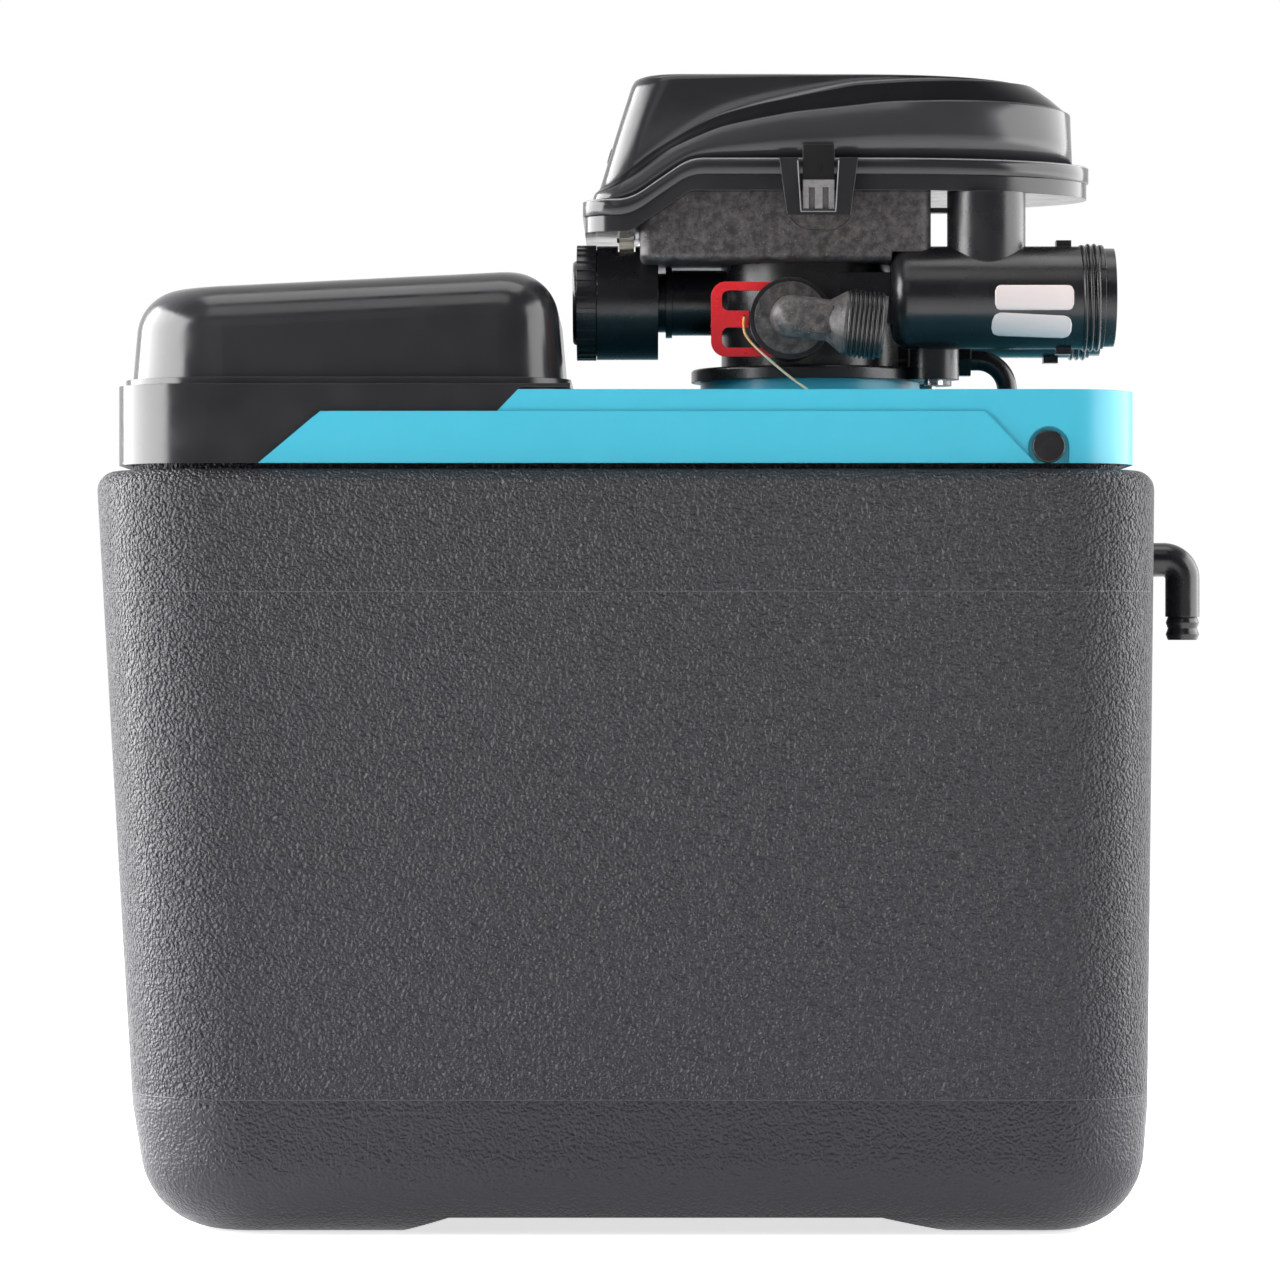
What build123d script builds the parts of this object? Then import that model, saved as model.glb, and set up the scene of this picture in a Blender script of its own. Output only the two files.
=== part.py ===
from build123d import *
import math
import os

# Water softener: a salt cabinet with a resin vessel inside and a piston control valve on top.
# Millimetres. +X points to the plumbing at the rear, +Z up, and the near side faces -Y.
# The origin lies on the floor, under the middle of the bounding box.

os.makedirs("parts", exist_ok=True)

# Fits shared by the whole part
overrun = 1.0              # how far a cut runs past the face it opens
running_fit = 0.05         # radial room of a shaft in its bearing
sliding_fit = 0.3          # room between two pieces that slide or lift apart
loose_fit = 1.0            # room round a piece that drops into a recess

# Cabinet
cabinet_length = 488.7
cabinet_width = 230.0
cabinet_height = 350.0
cabinet_wall = 4.0
overflow_reach = 28.3      # how far the overflow elbow stands out of the rear face
front_lean = 16.0          # draw-in of the front face down to the lower seam
rear_lean = 3.0
side_lean = 1.5
lower_seam = 58.0          # height of the seam above which the wall is steep
lower_draw = 9.0           # further draw-in of the front from that seam down to the floor
lower_rear_draw = 4.0
front_corner = 54.0
rear_corner = 45.0
floor_round = 38.0
shoulder_round = 9.0
neck_inset = 17.0
neck_height = 15.0
arch_depth = 8.0
arch_front = 140.9         # from the cabinet front to the start of the arch under the base
arch_length = 253.1
arch_ramp = 23.0
arch_rear_ramp = 32.3

# Deck frame and shroud
deck_gap = 2.6             # shadow gap between the cabinet shoulder and the deck
deck_inset = 10.0          # deck outline inside the cabinet outline
deck_height = 36.4
deck_skirt = 5.5
deck_plate = 3.0
deck_ledge = 6.5           # how far the ledge that rests on the neck reaches inwards
shroud_height = 33.7
shroud_wall = 2.5
panel_height = 23.7        # height of the raised side panel
panel_proud = 1.5
panel_front = 77.4         # from the cabinet front to the panel's lower front corner
panel_front_slope = 28.2
panel_rear = 57.5          # from the cabinet rear to the panel's lower rear corner
panel_rear_slope = 22.8
panel_round = 12.0
band_front = 186.2         # from the cabinet front to the start of the shroud's upper band
band_slope = 10.5
plug_radius = 7.5
plug_rise = 7.5
plug_from_rear = 51.2
plug_recess = 1.8
plug_thickness = 3.2

# Salt lid
lid_length = 200.8
lid_from_front = 15.7
lid_side_inset = 15.0      # cabinet's side face to the foot of the lid's dome
lid_rim = 3.0
lid_rim_proud = 3.0
lid_draft = 5.0            # degrees
lid_front_height = 44.0
lid_rear_height = 54.0
lid_round = 22.0
lid_wall = 2.5
lid_front_corner = 45.0
lid_rear_corner = 30.0
lid_lip = 7.0

# Resin vessel and the neck of the valve
vessel_side_gap = 13.4     # cabinet's outer side face to the vessel
vessel_to_rear = 156.7     # vessel axis to the cabinet's rear face
vessel_wall = 3.0
vessel_floor = 22.0
vessel_dome = 52.0
vessel_neck_radius = 38.0
vessel_neck_wall = 6.0
base_ring_radius = 66.0
base_ring_wall = 5.0
riser_radius = 13.3
riser_wall = 1.6
riser_rise = 20.0          # riser's upper end above the valve flange's underside
strainer_radius = 24.0
strainer_height = 18.0
strainer_slots = 12
resin_height = 190.0
collar_radius = 47.0
collar_height = 12.0
boss_radius = 52.0
boss_wall = 3.5
flange_radius = 56.3
flange_height = 6.0
flange_rise = 44.0         # underside of the valve flange above the cabinet shoulder

# Valve body
valve_rise = 82.0          # valve axis above the cabinet shoulder
hub_radius = 42.0
hub_height = 48.6
housing_radius = 27.0
housing_length = 29.0
housing_wall = 2.5
housing_floor = 3.0
housing_to_hub = 101.1     # vessel axis to the open end of the housing
neck_tube_radius = 14.0
neck_tube_length = 3.6
bump_radius = 16.7
bump_length = 3.0
piston_tube_radius = 15.5
piston_bore = 12.0
port_spread = 40.0         # each port tube's axis from the middle
port_radius = 24.0
port_bore = 18.0
port_end = 140.5           # vessel axis to the open end of the port tubes
port_length = 104.0
port_round = 8.0
port_depth = 86.0
port_thread_radius = 23.7
port_thread_length = 11.3
port_lead = 5.1
port_lead_radius = 23.0
ear_length = 7.0
ear_height = 2.6
ear_width = 9.0
lug_radius = 11.9
lug_reach = 57.1
lug_spread = 30.0
lug_height = 20.0
screw_radius = 2.5
screw_head = 4.5
screw_length = 14.0
seal_drop = 3.0
seal_section = 1.2

# Drain side
socket_back = 10.9         # drain axis in front of the vessel axis
socket_drop = 10.9         # drain axis below the valve axis
socket_radius = 19.0
socket_reach = 64.0
socket_bore = 14.5
socket_depth = 24.0
spigot_length = 20.0
drain_disc_radius = 16.8
drain_disc = 3.0
elbow_radius = 9.6
elbow_bore = 6.5
elbow_drop = 18.0          # socket mouth to the elbow's outlet axis
elbow_reach = 43.0
elbow_tilt = 7.0           # degrees, outlet end downwards
elbow_thread_radius = 14.3
elbow_thread_length = 19.0
elbow_flare = 7.0
clip_thickness = 3.0
clip_height = 34.8
clip_length = 42.0
clip_bar = 5.1
clip_arm = 4.1
clip_middle = 7.8
clip_from_mouth = 9.0
clip_hole = 0.9
clip_corner = 7.0
clip_back = 36.8           # drain axis to the clip's outer end
drain_seal = 1.1
elbow_panel_start = 2.0
elbow_panel_length = 16.0
elbow_panel_height = 13.0

# Head
casing_length = 135.7
casing_half_width = 52.0
casing_front = 80.7        # vessel axis to the casing's front face
casing_round = 7.0
head_front = 106.4         # vessel axis to the tray's front end
head_length = 237.6
head_half_width = 60.0
tray_wall = 2.5
tray_band = 14.8           # height of the tray wall
tray_low = 29.7            # underside of the tray's low front end above the valve axis
tray_step = 19.0           # climb of the S-bend
step_start = 21.1          # from the tray's front end to the foot of the S-bend
step_run = 27.8
step_round = 9.0
tray_front_corner = 17.0
tail_share = 0.421         # length of the rounded tail, as a share of the head
cover_inset = 3.5
cover_wall = 2.5
cover_top = 104.5          # top of the head cover above the valve axis
cover_shoulder_inset = 9.0
cover_round_share = 0.0337 # rounding of the cover's crown, as a share of the head's length
front_share = 0.12         # foot of the cover's front face, as a share of the face's lean
lens_share = 0.7           # places up the cover's front face, as shares of its height
key_share = 0.42
latch_width = 36.6
latch_foot_width = 29.3
latch_height = 26.5
latch_window = 19.0
latch_bar = 2.5
latch_thickness = 4.0
latch_hook = 14.6
latch_block = 13.7
latch_tongue = 1.5
latch_slot = 3.2
latch_slot_height = 10.0
slot_share = 0.9
latch_from_axis = 2.1
board_front = 29.5         # vessel axis to the board's front edge
board_length = 86.0
board_half_width = 50.0
board_thickness = 1.6
board_rise = 14.0
post_radius = 2.5
relay_height = 12.0
key_count = 5
key_radius = 3.6
key_pitch = 14.0
key_proud = 1.2
key_stem = 2.0
key_lip = 0.7
lens_width = 54.0
lens_height = 20.0
lens_thickness = 1.6

# Drive
gear_module = 1.0
gear_teeth = 42
idler_teeth = 26
pinion_teeth = 12
gear_width = 7.0
gear_place = 10.6          # open end of the housing to the gear's front face
gear_backlash = 0.25
gear_hub = 8.0
tip_share = 0.9            # tooth heights as shares of the module
root_share = 1.2
tip_tooth_share = 0.13      # half widths of a tooth as shares of its pitch
root_tooth_share = 0.33
piston_rod_radius = 4.5
piston_front = 5.6         # open end of the housing to the piston rod's end
piston_length = 66.0
spool_radius = 10.0
spool_length = 6.0
spool_count = 3
spool_pitch = 11.0
seal_length = 3.0
plate_gap = 0.6
plate_thickness = 2.0
plate_half_width = 14.0
motor_radius = 14.0
motor_length = 42.0
motor_shaft = 1.5
axle_radius = 2.5

# End cap
ring_radius = 27.3
ring_length = 9.5
ring_wall = 1.8
ring_face = 3.0
ring_ribs = 32
ring_rib = 0.7
ring_rib_width = 2.4
cap_bulge = 1.9
cap_radius = 20.0
cap_plug = 6.0
cap_flange = 2.4

# Meter
tower_radius = 18.3
tower_back = 81.2          # vessel axis to the tower axis
turbine_radius = 17.4
turbine_hub = 5.0
turbine_blades = 6
turbine_length = 12.0
meter_bar = 2.3
meter_mouth_bore = 18.5    # wider mouth of the near tube, up to the turbine's cage
meter_mouth_depth = 43.3

# Injector on the far side
injector_radius = 13.0
injector_length = 26.0
injector_cap_radius = 15.5
injector_cap_length = 8.0
injector_bore = 9.0
injector_flutes = 8

# Brine well and its tube
well_radius = 35.0
well_wall = 2.0
well_forward = 168.5       # vessel axis to the well axis
well_side = 34.0
well_headroom = 14.0       # top of the brine well below the cabinet's shoulder
well_cap_radius = 38.0
well_cap_thickness = 3.0
brine_valve_radius = 9.0
float_radius = 20.0
float_height = 44.0
float_rest = 130.0         # underside of the float above the cabinet's inner floor
float_stop = 3.0
well_slot_height = 60.0
refill_root = 38.0         # vessel axis to the refill elbow's root in the hub
refill_nut_length = 9.0
float_travel = 60.0
tube_radius = 4.75
tube_wall = 1.0
tube_back = 94.0           # vessel axis to the tube's upright run through the deck
tube_side = 6.0
refill_back = 76.5         # vessel axis to the refill elbow's outlet
refill_drop = 27.0         # refill elbow below the valve axis
refill_radius = 6.5
grommet_wall = 2.0

# Overflow elbow
overflow_from_top = 40.0   # elbow axis below the cabinet's shoulder
overflow_radius = 8.1
overflow_bore = 5.0
overflow_drop = 38.0       # elbow axis to the spout's end
overflow_inside = 16.0
overflow_corner = 9.0
barb_radius = 7.9
barb_root = 6.9
barb_length = 11.0
nut_radius = 15.0
nut_length = 7.0
gasket_thickness = 2.5

tube_level = 7.0           # tube's run under the deck, above the cabinet shoulder
tube_bends = (14.0, 14.0, 18.0, 60.0, 30.0, 7.0)

# Seal wire: places behind the clip's outer end, in front of the clip and below the drain axis
wire_radius = 0.6
wire_route = ((15.4, 0.1, -1.0), (14.6, 1.6, 5.0), (17.6, 2.2, 10.2), (23.0, 2.7, 15.4),
              (31.0, 3.3, 22.6), (39.0, 3.8, 29.0), (46.0, 4.2, 34.0))
wire_bends = (6.0, 8.0, 25.0, 60.0, 60.0)

# Places worked out from the sizes above
front_x = -(cabinet_length + overflow_reach) / 2
rear_x = front_x + cabinet_length
half_width = cabinet_width / 2
lid_half_width = half_width - lid_side_inset
vessel_radius = half_width - vessel_side_gap
overflow_height = cabinet_height - overflow_from_top
axis_x = rear_x - vessel_to_rear
axis_z = cabinet_height + valve_rise
deck_z = cabinet_height + deck_gap
deck_top = deck_z + deck_height
shroud_top = deck_z + shroud_height
flange_z = cabinet_height + flange_rise
housing_x = axis_x - housing_to_hub
port_x = axis_x + port_end
drain_x = axis_x - socket_back
drain_z = axis_z - socket_drop


def across(x, y=0, z=0):
    """Plane square to the X axis, its own x along +Y and its own y along +Z."""
    return Plane(origin=(x, y, z), x_dir=(0, 1, 0), z_dir=(1, 0, 0))


def facing(y, x=0, z=0):
    """Plane square to the Y axis that faces the near side, its own y along +Z."""
    return Plane(origin=(x, y, z), x_dir=(1, 0, 0), z_dir=(0, -1, 0))


def level(z, x=0, y=0):
    """Plane square to the Z axis."""
    return Plane(origin=(x, y, z), x_dir=(1, 0, 0), z_dir=(0, 0, 1))


def round_bar(plane, radius, length, mode=Mode.ADD):
    """Round bar that stands on a plane."""
    with BuildSketch(plane) as section:
        Circle(radius)
    extrude(section.sketch, amount=length, mode=mode)


def pipe(plane, radius, bore, length):
    """Round tube that stands on a plane."""
    with BuildSketch(plane) as section:
        Circle(radius)
        Circle(bore, mode=Mode.SUBTRACT)
    extrude(section.sketch, amount=length)


def rounded_plan(plane, front, rear, half, front_round, rear_round):
    """Plan outline with its own corner radius at each end."""
    with BuildSketch(plane) as plan:
        with BuildLine():
            Polyline((front, -half), (rear, -half), (rear, half), (front, half), close=True)
        make_face()
        ends = plan.vertices().group_by(Axis.X)
        if front_round:
            fillet(ends[0], front_round)
        if rear_round:
            fillet(plan.vertices().group_by(Axis.X)[-1], rear_round)
    return plan.sketch


def plan_block(bottom, top, front, rear, half, front_round, rear_round, mode=Mode.ADD):
    """Upright block on a rounded plan."""
    plan = rounded_plan(level(bottom), front, rear, half, front_round, rear_round)
    extrude(plan, amount=top - bottom, mode=mode)


def side_cut(points, half, mode, round_at=0, rounding=0):
    """Block with a side outline, running to both sides of the middle."""
    with BuildSketch(Plane.XZ) as side:
        with BuildLine():
            Polyline(*points, close=True)
        make_face()
        if rounding:
            fillet(side.vertices().sort_by_distance(points[round_at])[0], rounding)
    extrude(side.sketch, amount=half, both=True, mode=mode)


def tell_cord(name, length, volume, radius):
    """Print a cord's length, and its volume as a share of section times length."""
    print(name, round(length, 1), "mm, volume share", round(volume / (math.pi * radius ** 2 * length), 4))


def save(part, name):
    """Label a finished piece and write it."""
    part.label = name
    export_step(part, f"parts/{name}.step")


# Cabinet: a leaning shell on a rounded plan, its lower part drawn in further
def cabinet_form(inset, bottom, top, floor_radius, top_radius):
    """Closed cabinet form, drawn in by an inset on every side."""
    rounding_share = shoulder_round / (cabinet_height - shoulder_round - lower_seam)
    levels = (bottom, lower_seam, top)
    fronts = (front_lean + lower_draw, front_lean, -front_lean * rounding_share)
    rears = (rear_lean + lower_rear_draw, rear_lean, -rear_lean * rounding_share)
    sides = (side_lean + lower_rear_draw, side_lean, -side_lean * rounding_share)
    plans = []
    for height, lean, back, side in zip(levels, fronts, rears, sides):
        plans.append(rounded_plan(level(height), front_x + lean + inset, rear_x - back - inset,
                                  half_width - side - inset, front_corner - inset, rear_corner - inset))
    loft(plans, ruled=True)
    floor_edges = edges().group_by(Axis.Z)[0]
    fillet(floor_edges, floor_radius)
    if top_radius:
        fillet(edges().group_by(Axis.Z)[-1], top_radius)


def neck_plan(plane, inset):
    """Outline that runs parallel to the cabinet's shoulder."""
    return rounded_plan(plane, front_x + inset, rear_x - inset, half_width - inset,
                        front_corner - inset, rear_corner - inset)


with BuildPart() as cabinet_space:
    cabinet_form(cabinet_wall, arch_depth + cabinet_wall, cabinet_height - cabinet_wall,
                 floor_round - cabinet_wall, 0)

with BuildPart() as cabinet:
    cabinet_form(0, 0, cabinet_height, floor_round, shoulder_round)
    extrude(neck_plan(level(cabinet_height - cabinet_wall), neck_inset),
            amount=neck_height + cabinet_wall)
    add(cabinet_space.part, mode=Mode.SUBTRACT)
    extrude(neck_plan(level(cabinet_height - 2 * cabinet_wall), neck_inset + cabinet_wall),
            amount=neck_height + 2 * cabinet_wall + overrun, mode=Mode.SUBTRACT)
    arch_x = front_x + arch_front
    side_cut([(arch_x, 0), (arch_x + arch_ramp, arch_depth),
              (arch_x + arch_length - arch_rear_ramp, arch_depth), (arch_x + arch_length, 0)],
             cabinet_width, Mode.SUBTRACT)
    with BuildSketch(across(rear_x + overrun, 0, overflow_height)) as overflow_hole:
        Circle(overflow_radius + running_fit)
    extrude(overflow_hole.sketch, amount=-(rear_lean + cabinet_wall + 2 * overrun), mode=Mode.SUBTRACT)
    # one moulding: its two feet are divided off level with the arch, which keeps the arch open in collision
    split(bisect_by=level(arch_depth), keep=Keep.BOTH)
save(cabinet.part, "cabinet")

# Deck: a black frame on the cabinet neck, and the coloured shroud let into it
deck_front = front_x + deck_inset
deck_rear = rear_x - deck_inset
deck_half = half_width - deck_inset
lid_x = front_x + lid_from_front
lid_end = lid_x + lid_length
mouth_inset = lid_wall + sliding_fit + loose_fit


def deck_block(inset, bottom, top, mode=Mode.ADD):
    """Block on the deck's outline, drawn in by an inset."""
    plan_block(bottom, top, deck_front + inset, deck_rear - inset, deck_half - inset,
               front_corner - deck_inset - inset, rear_corner - deck_inset - inset, mode)


def lid_plan(plane, inset):
    """Outline of the salt lid, drawn in by an inset."""
    return rounded_plan(plane, lid_x + inset, lid_end - inset, lid_half_width - inset,
                        lid_front_corner - inset, lid_rear_corner - inset)


shroud_side = [(front_x + panel_front, deck_z), (front_x + panel_front + panel_front_slope,
                                                 deck_z + panel_height),
               (front_x + band_front, deck_z + panel_height),
               (front_x + band_front + band_slope, shroud_top + overrun),
               (rear_x, shroud_top + overrun), (rear_x, deck_z)]
panel_side = [(front_x + panel_front, deck_z),
              (front_x + panel_front + panel_front_slope, deck_z + panel_height),
              (rear_x - panel_rear - panel_rear_slope, deck_z + panel_height),
              (rear_x - panel_rear, deck_z)]

with BuildPart() as shroud_zone:
    deck_block(-overrun, deck_z - overrun, shroud_top + overrun)
    deck_block(shroud_wall, deck_z - overrun, shroud_top - shroud_wall, Mode.SUBTRACT)
    side_cut([(shroud_side[0][0], deck_z - overrun)] + shroud_side + [(rear_x, deck_z - overrun)],
             cabinet_width, Mode.INTERSECT)
    extrude(lid_plan(level(deck_z), -lid_rim_proud - sliding_fit), amount=cabinet_height,
            mode=Mode.SUBTRACT)

with BuildPart() as deck_frame:
    deck_block(0, deck_z, deck_top)
    neck_top = cabinet_height + neck_height
    deck_block(deck_skirt, deck_z, neck_top, Mode.SUBTRACT)
    deck_block(deck_skirt + deck_ledge, neck_top, neck_top + deck_plate, Mode.SUBTRACT)
    deck_block(deck_skirt, neck_top + deck_plate, shroud_top - shroud_wall - deck_plate, Mode.SUBTRACT)
    side_cut([(lid_end + lid_rim_proud, shroud_top), (lid_end + lid_rim_proud, deck_top + overrun),
              (rear_x, deck_top + overrun), (rear_x, shroud_top)], cabinet_width, Mode.SUBTRACT)
    extrude(lid_plan(level(deck_z), mouth_inset), amount=deck_height + overrun, mode=Mode.SUBTRACT)
    add(shroud_zone.part, mode=Mode.SUBTRACT)
    round_bar(level(neck_top, axis_x), boss_radius - boss_wall, deck_height, Mode.SUBTRACT)
    round_bar(level(neck_top, axis_x + tube_back, tube_side),
              tube_radius + grommet_wall, deck_height, Mode.SUBTRACT)
save(deck_frame.part, "deck_frame")

with BuildPart() as shroud:
    deck_block(0, deck_z, shroud_top)
    side_cut(panel_side, deck_half + panel_proud, Mode.ADD, 1, panel_round)
    deck_block(shroud_wall, deck_z - overrun, shroud_top - shroud_wall, Mode.SUBTRACT)
    side_cut(shroud_side, cabinet_width, Mode.INTERSECT)
    extrude(lid_plan(level(deck_z - overrun), -lid_rim_proud - sliding_fit), amount=cabinet_height,
            mode=Mode.SUBTRACT)
    round_bar(level(shroud_top - shroud_wall, axis_x), boss_radius, flange_z - shroud_top + shroud_wall)
    round_bar(level(deck_z, axis_x), boss_radius - boss_wall, valve_rise, Mode.SUBTRACT)
    round_bar(level(deck_z, axis_x + tube_back, tube_side),
              tube_radius + grommet_wall, valve_rise, Mode.SUBTRACT)
    for side in (-1, 1):
        with BuildSketch(facing(side * (deck_half + overrun), rear_x - plug_from_rear,
                                deck_z + plug_rise)) as plug_recess_cut:
            Circle(plug_radius + plug_recess)
            with Locations((0, -plug_radius)):
                Rectangle(2 * (plug_radius + plug_recess), 2 * plug_radius)
        extrude(plug_recess_cut.sketch, amount=side * (overrun + plug_recess), mode=Mode.SUBTRACT)
save(shroud.part, "shroud")

with BuildPart() as shroud_plugs:
    for side in (-1, 1):
        seat = side * (deck_half - plug_recess)
        with BuildSketch(facing(seat, rear_x - plug_from_rear, deck_z + plug_rise)) as plug_disc:
            Circle(plug_radius)
        extrude(plug_disc.sketch, amount=-side * plug_thickness)
    fillet(shroud_plugs.edges().filter_by(GeomType.CIRCLE), plug_thickness / 4)
save(shroud_plugs.part, "shroud_plugs")

# Salt lid: a sloping dome with a flat rim and a lip that drops into the mouth


def lid_form(inset, bottom, rounding):
    """Lid dome, drawn in by an inset, its top sloping up to the rear."""
    extrude(lid_plan(level(bottom), inset), amount=2 * lid_rear_height, taper=lid_draft)
    with BuildSketch(Plane.XZ) as top_slope:
        with BuildLine():
            Polyline((lid_x - overrun, deck_top + lid_front_height - inset),
                     (lid_end + overrun, deck_top + lid_rear_height - inset),
                     (lid_end + overrun, deck_top + 3 * lid_rear_height),
                     (lid_x - overrun, deck_top + 3 * lid_rear_height), close=True)
        make_face()
    extrude(top_slope.sketch, amount=lid_half_width + overrun, both=True, mode=Mode.SUBTRACT)
    fillet(faces().sort_by(Axis.Z)[-1].edges(), rounding)


with BuildPart() as lid_space:
    lid_form(lid_wall, deck_top, lid_round - lid_wall)

with BuildPart() as salt_lid:
    lid_form(0, deck_top, lid_round)
    add(lid_space.part, mode=Mode.SUBTRACT)
    extrude(lid_plan(level(deck_top), -lid_rim_proud), amount=lid_rim)
    lip_inset = mouth_inset + sliding_fit
    extrude(lid_plan(level(deck_top - lid_lip), lip_inset), amount=lid_lip + lid_rim)
    extrude(lid_plan(level(deck_top - lid_lip - overrun), lip_inset + lid_wall),
            amount=lid_lip + lid_rim + 2 * overrun, mode=Mode.SUBTRACT)
save(salt_lid.part, "salt_lid")

# Overflow elbow, its nut and gasket
spout_x = rear_x + overflow_reach - overflow_radius
spout_end = overflow_height - overflow_drop

with BuildPart() as overflow_elbow:
    with BuildLine() as overflow_path:
        FilletPolyline((rear_x - overflow_inside, 0, overflow_height), (spout_x, 0, overflow_height),
                       (spout_x, 0, spout_end + barb_length), radius=overflow_corner)
    with BuildSketch(across(rear_x - overflow_inside, 0, overflow_height)) as overflow_section:
        Circle(overflow_radius)
        Circle(overflow_bore, mode=Mode.SUBTRACT)
    sweep(overflow_section.sketch, path=overflow_path.line)
    with BuildSketch(Plane.XZ) as barb_side:
        with BuildLine():
            Polyline((spout_x + overflow_bore, spout_end), (spout_x + barb_root, spout_end),
                     (spout_x + barb_radius, spout_end + barb_length / 4),
                     (spout_x + barb_root, spout_end + barb_length / 2),
                     (spout_x + barb_radius, spout_end + 3 * barb_length / 4),
                     (spout_x + barb_root, spout_end + barb_length),
                     (spout_x + overflow_bore, spout_end + barb_length), close=True)
        make_face()
    revolve(barb_side.sketch, axis=Axis((spout_x, 0, 0), (0, 0, 1)))
save(overflow_elbow.part, "overflow_elbow")

inner_rear = rear_x - rear_lean - cabinet_wall
with BuildPart() as overflow_gasket:
    pipe(across(inner_rear, 0, overflow_height), nut_radius, overflow_radius + sliding_fit,
         -gasket_thickness)
save(overflow_gasket.part, "overflow_gasket")

with BuildPart() as overflow_nut:
    with BuildSketch(across(inner_rear - gasket_thickness, 0, overflow_height)) as nut_section:
        RegularPolygon(nut_radius, 6)
        Circle(overflow_radius + running_fit, mode=Mode.SUBTRACT)
    extrude(nut_section.sketch, amount=-nut_length)
save(overflow_nut.part, "overflow_nut")

# Resin vessel: straight wall between two domes, on a ring, with the riser inside
vessel_top = cabinet_height - vessel_neck_wall


def vessel_solid(radius, floor, dome, top):
    """Domed cylinder between two heights."""
    with BuildSketch(Plane(origin=(axis_x, 0, 0), x_dir=(1, 0, 0), z_dir=(0, -1, 0))) as half:
        with BuildLine():
            Line((0, floor), (0, top))
            EllipticalCenterArc((0, top - dome), radius, dome, start_angle=0, arc_size=90)
            Line((radius, top - dome), (radius, floor + dome))
            EllipticalCenterArc((0, floor + dome), radius, dome, start_angle=270, arc_size=90)
        make_face()
    revolve(half.sketch, axis=Axis((axis_x, 0, 0), (0, 0, 1)))


with BuildPart() as vessel_space:
    vessel_solid(vessel_radius - vessel_wall, vessel_floor + vessel_wall, vessel_dome - vessel_wall,
                 vessel_top - vessel_wall)

with BuildPart() as vessel_form:
    vessel_solid(vessel_radius, vessel_floor, vessel_dome, vessel_top)

with BuildPart() as resin_tank:
    vessel_solid(vessel_radius, vessel_floor, vessel_dome, vessel_top)
    round_bar(level(vessel_top - vessel_dome / 2, axis_x), vessel_neck_radius,
              flange_z - vessel_top + vessel_dome / 2)
    add(vessel_space.part, mode=Mode.SUBTRACT)
    round_bar(level(vessel_top - vessel_dome, axis_x), vessel_neck_radius - vessel_neck_wall,
              flange_z - vessel_top + vessel_dome + overrun, Mode.SUBTRACT)
save(resin_tank.part, "resin_tank")

cabinet_floor = arch_depth + cabinet_wall
ring_share = math.sqrt(1 - (base_ring_radius / vessel_radius) ** 2)
ring_seat = vessel_floor + vessel_dome * (1 - ring_share)

with BuildPart() as tank_base:
    pipe(level(cabinet_floor, axis_x), base_ring_radius, base_ring_radius - base_ring_wall,
         ring_seat - cabinet_floor + base_ring_wall)
    add(vessel_form.part, mode=Mode.SUBTRACT)
save(tank_base.part, "tank_base")

strainer_floor = vessel_floor + 2 * vessel_wall
riser_floor = strainer_floor + strainer_height
riser_top = flange_z + riser_rise
with BuildPart() as riser_tube:
    pipe(level(riser_floor, axis_x), riser_radius, riser_radius - riser_wall, riser_top - riser_floor)
save(riser_tube.part, "riser_tube")


def slotted_strainer(bottom, radius, bore, height):
    """Cup with upright slots round its wall."""
    round_bar(level(bottom, axis_x), radius, height)
    round_bar(level(bottom + riser_wall, axis_x), radius - riser_wall, height - 2 * riser_wall,
              Mode.SUBTRACT)
    if bore:
        round_bar(level(bottom - overrun, axis_x), bore, height + 2 * overrun, Mode.SUBTRACT)
    with BuildSketch(level(bottom + 2 * riser_wall, axis_x)) as slots:
        with PolarLocations(radius, strainer_slots):
            Rectangle(3 * riser_wall, riser_wall)
    extrude(slots.sketch, amount=height - 4 * riser_wall, mode=Mode.SUBTRACT)


with BuildPart() as bottom_strainer:
    slotted_strainer(strainer_floor, strainer_radius, 0, strainer_height)
save(bottom_strainer.part, "bottom_strainer")

with BuildPart() as top_strainer:
    slotted_strainer(vessel_top - strainer_height, strainer_radius, riser_radius + sliding_fit,
                     strainer_height + flange_z - flange_height - vessel_top)
save(top_strainer.part, "top_strainer")

with BuildPart() as resin_bed:
    vessel_solid(vessel_radius - vessel_wall, vessel_floor + vessel_wall, vessel_dome - vessel_wall,
                 vessel_top - vessel_wall)
    split(bisect_by=Plane.XY.offset(vessel_floor + resin_height), keep=Keep.BOTTOM)
    round_bar(level(0, axis_x), riser_radius, vessel_top, Mode.SUBTRACT)
    round_bar(level(strainer_floor, axis_x), strainer_radius, strainer_height, Mode.SUBTRACT)
save(resin_bed.part, "resin_bed")

with BuildPart() as tank_collar:
    pipe(level(flange_z - collar_height, axis_x), collar_radius, vessel_neck_radius, collar_height)
save(tank_collar.part, "tank_collar")

# Valve body: drive housing, piston tube, hub and drain socket, with the two port tubes fused to it
socket_mouth = -socket_reach
hub_top = flange_z + flange_height + hub_height
lug_x = axis_x + lug_reach
spigot_bottom = flange_z - flange_height
piston_tube_x = housing_x + housing_length + neck_tube_length + bump_length
tower_x = axis_x + tower_back
port_start = port_x - port_length

with BuildPart() as port_tube:
    round_bar(across(port_start, 0, axis_z), port_radius, port_length - port_lead)
    fillet(port_tube.edges().group_by(Axis.X)[0], port_round)
    round_bar(across(port_x - port_lead - port_thread_length, 0, axis_z), port_thread_radius,
              port_thread_length)
    round_bar(across(port_x - port_lead, 0, axis_z), port_lead_radius, port_lead)

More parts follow.
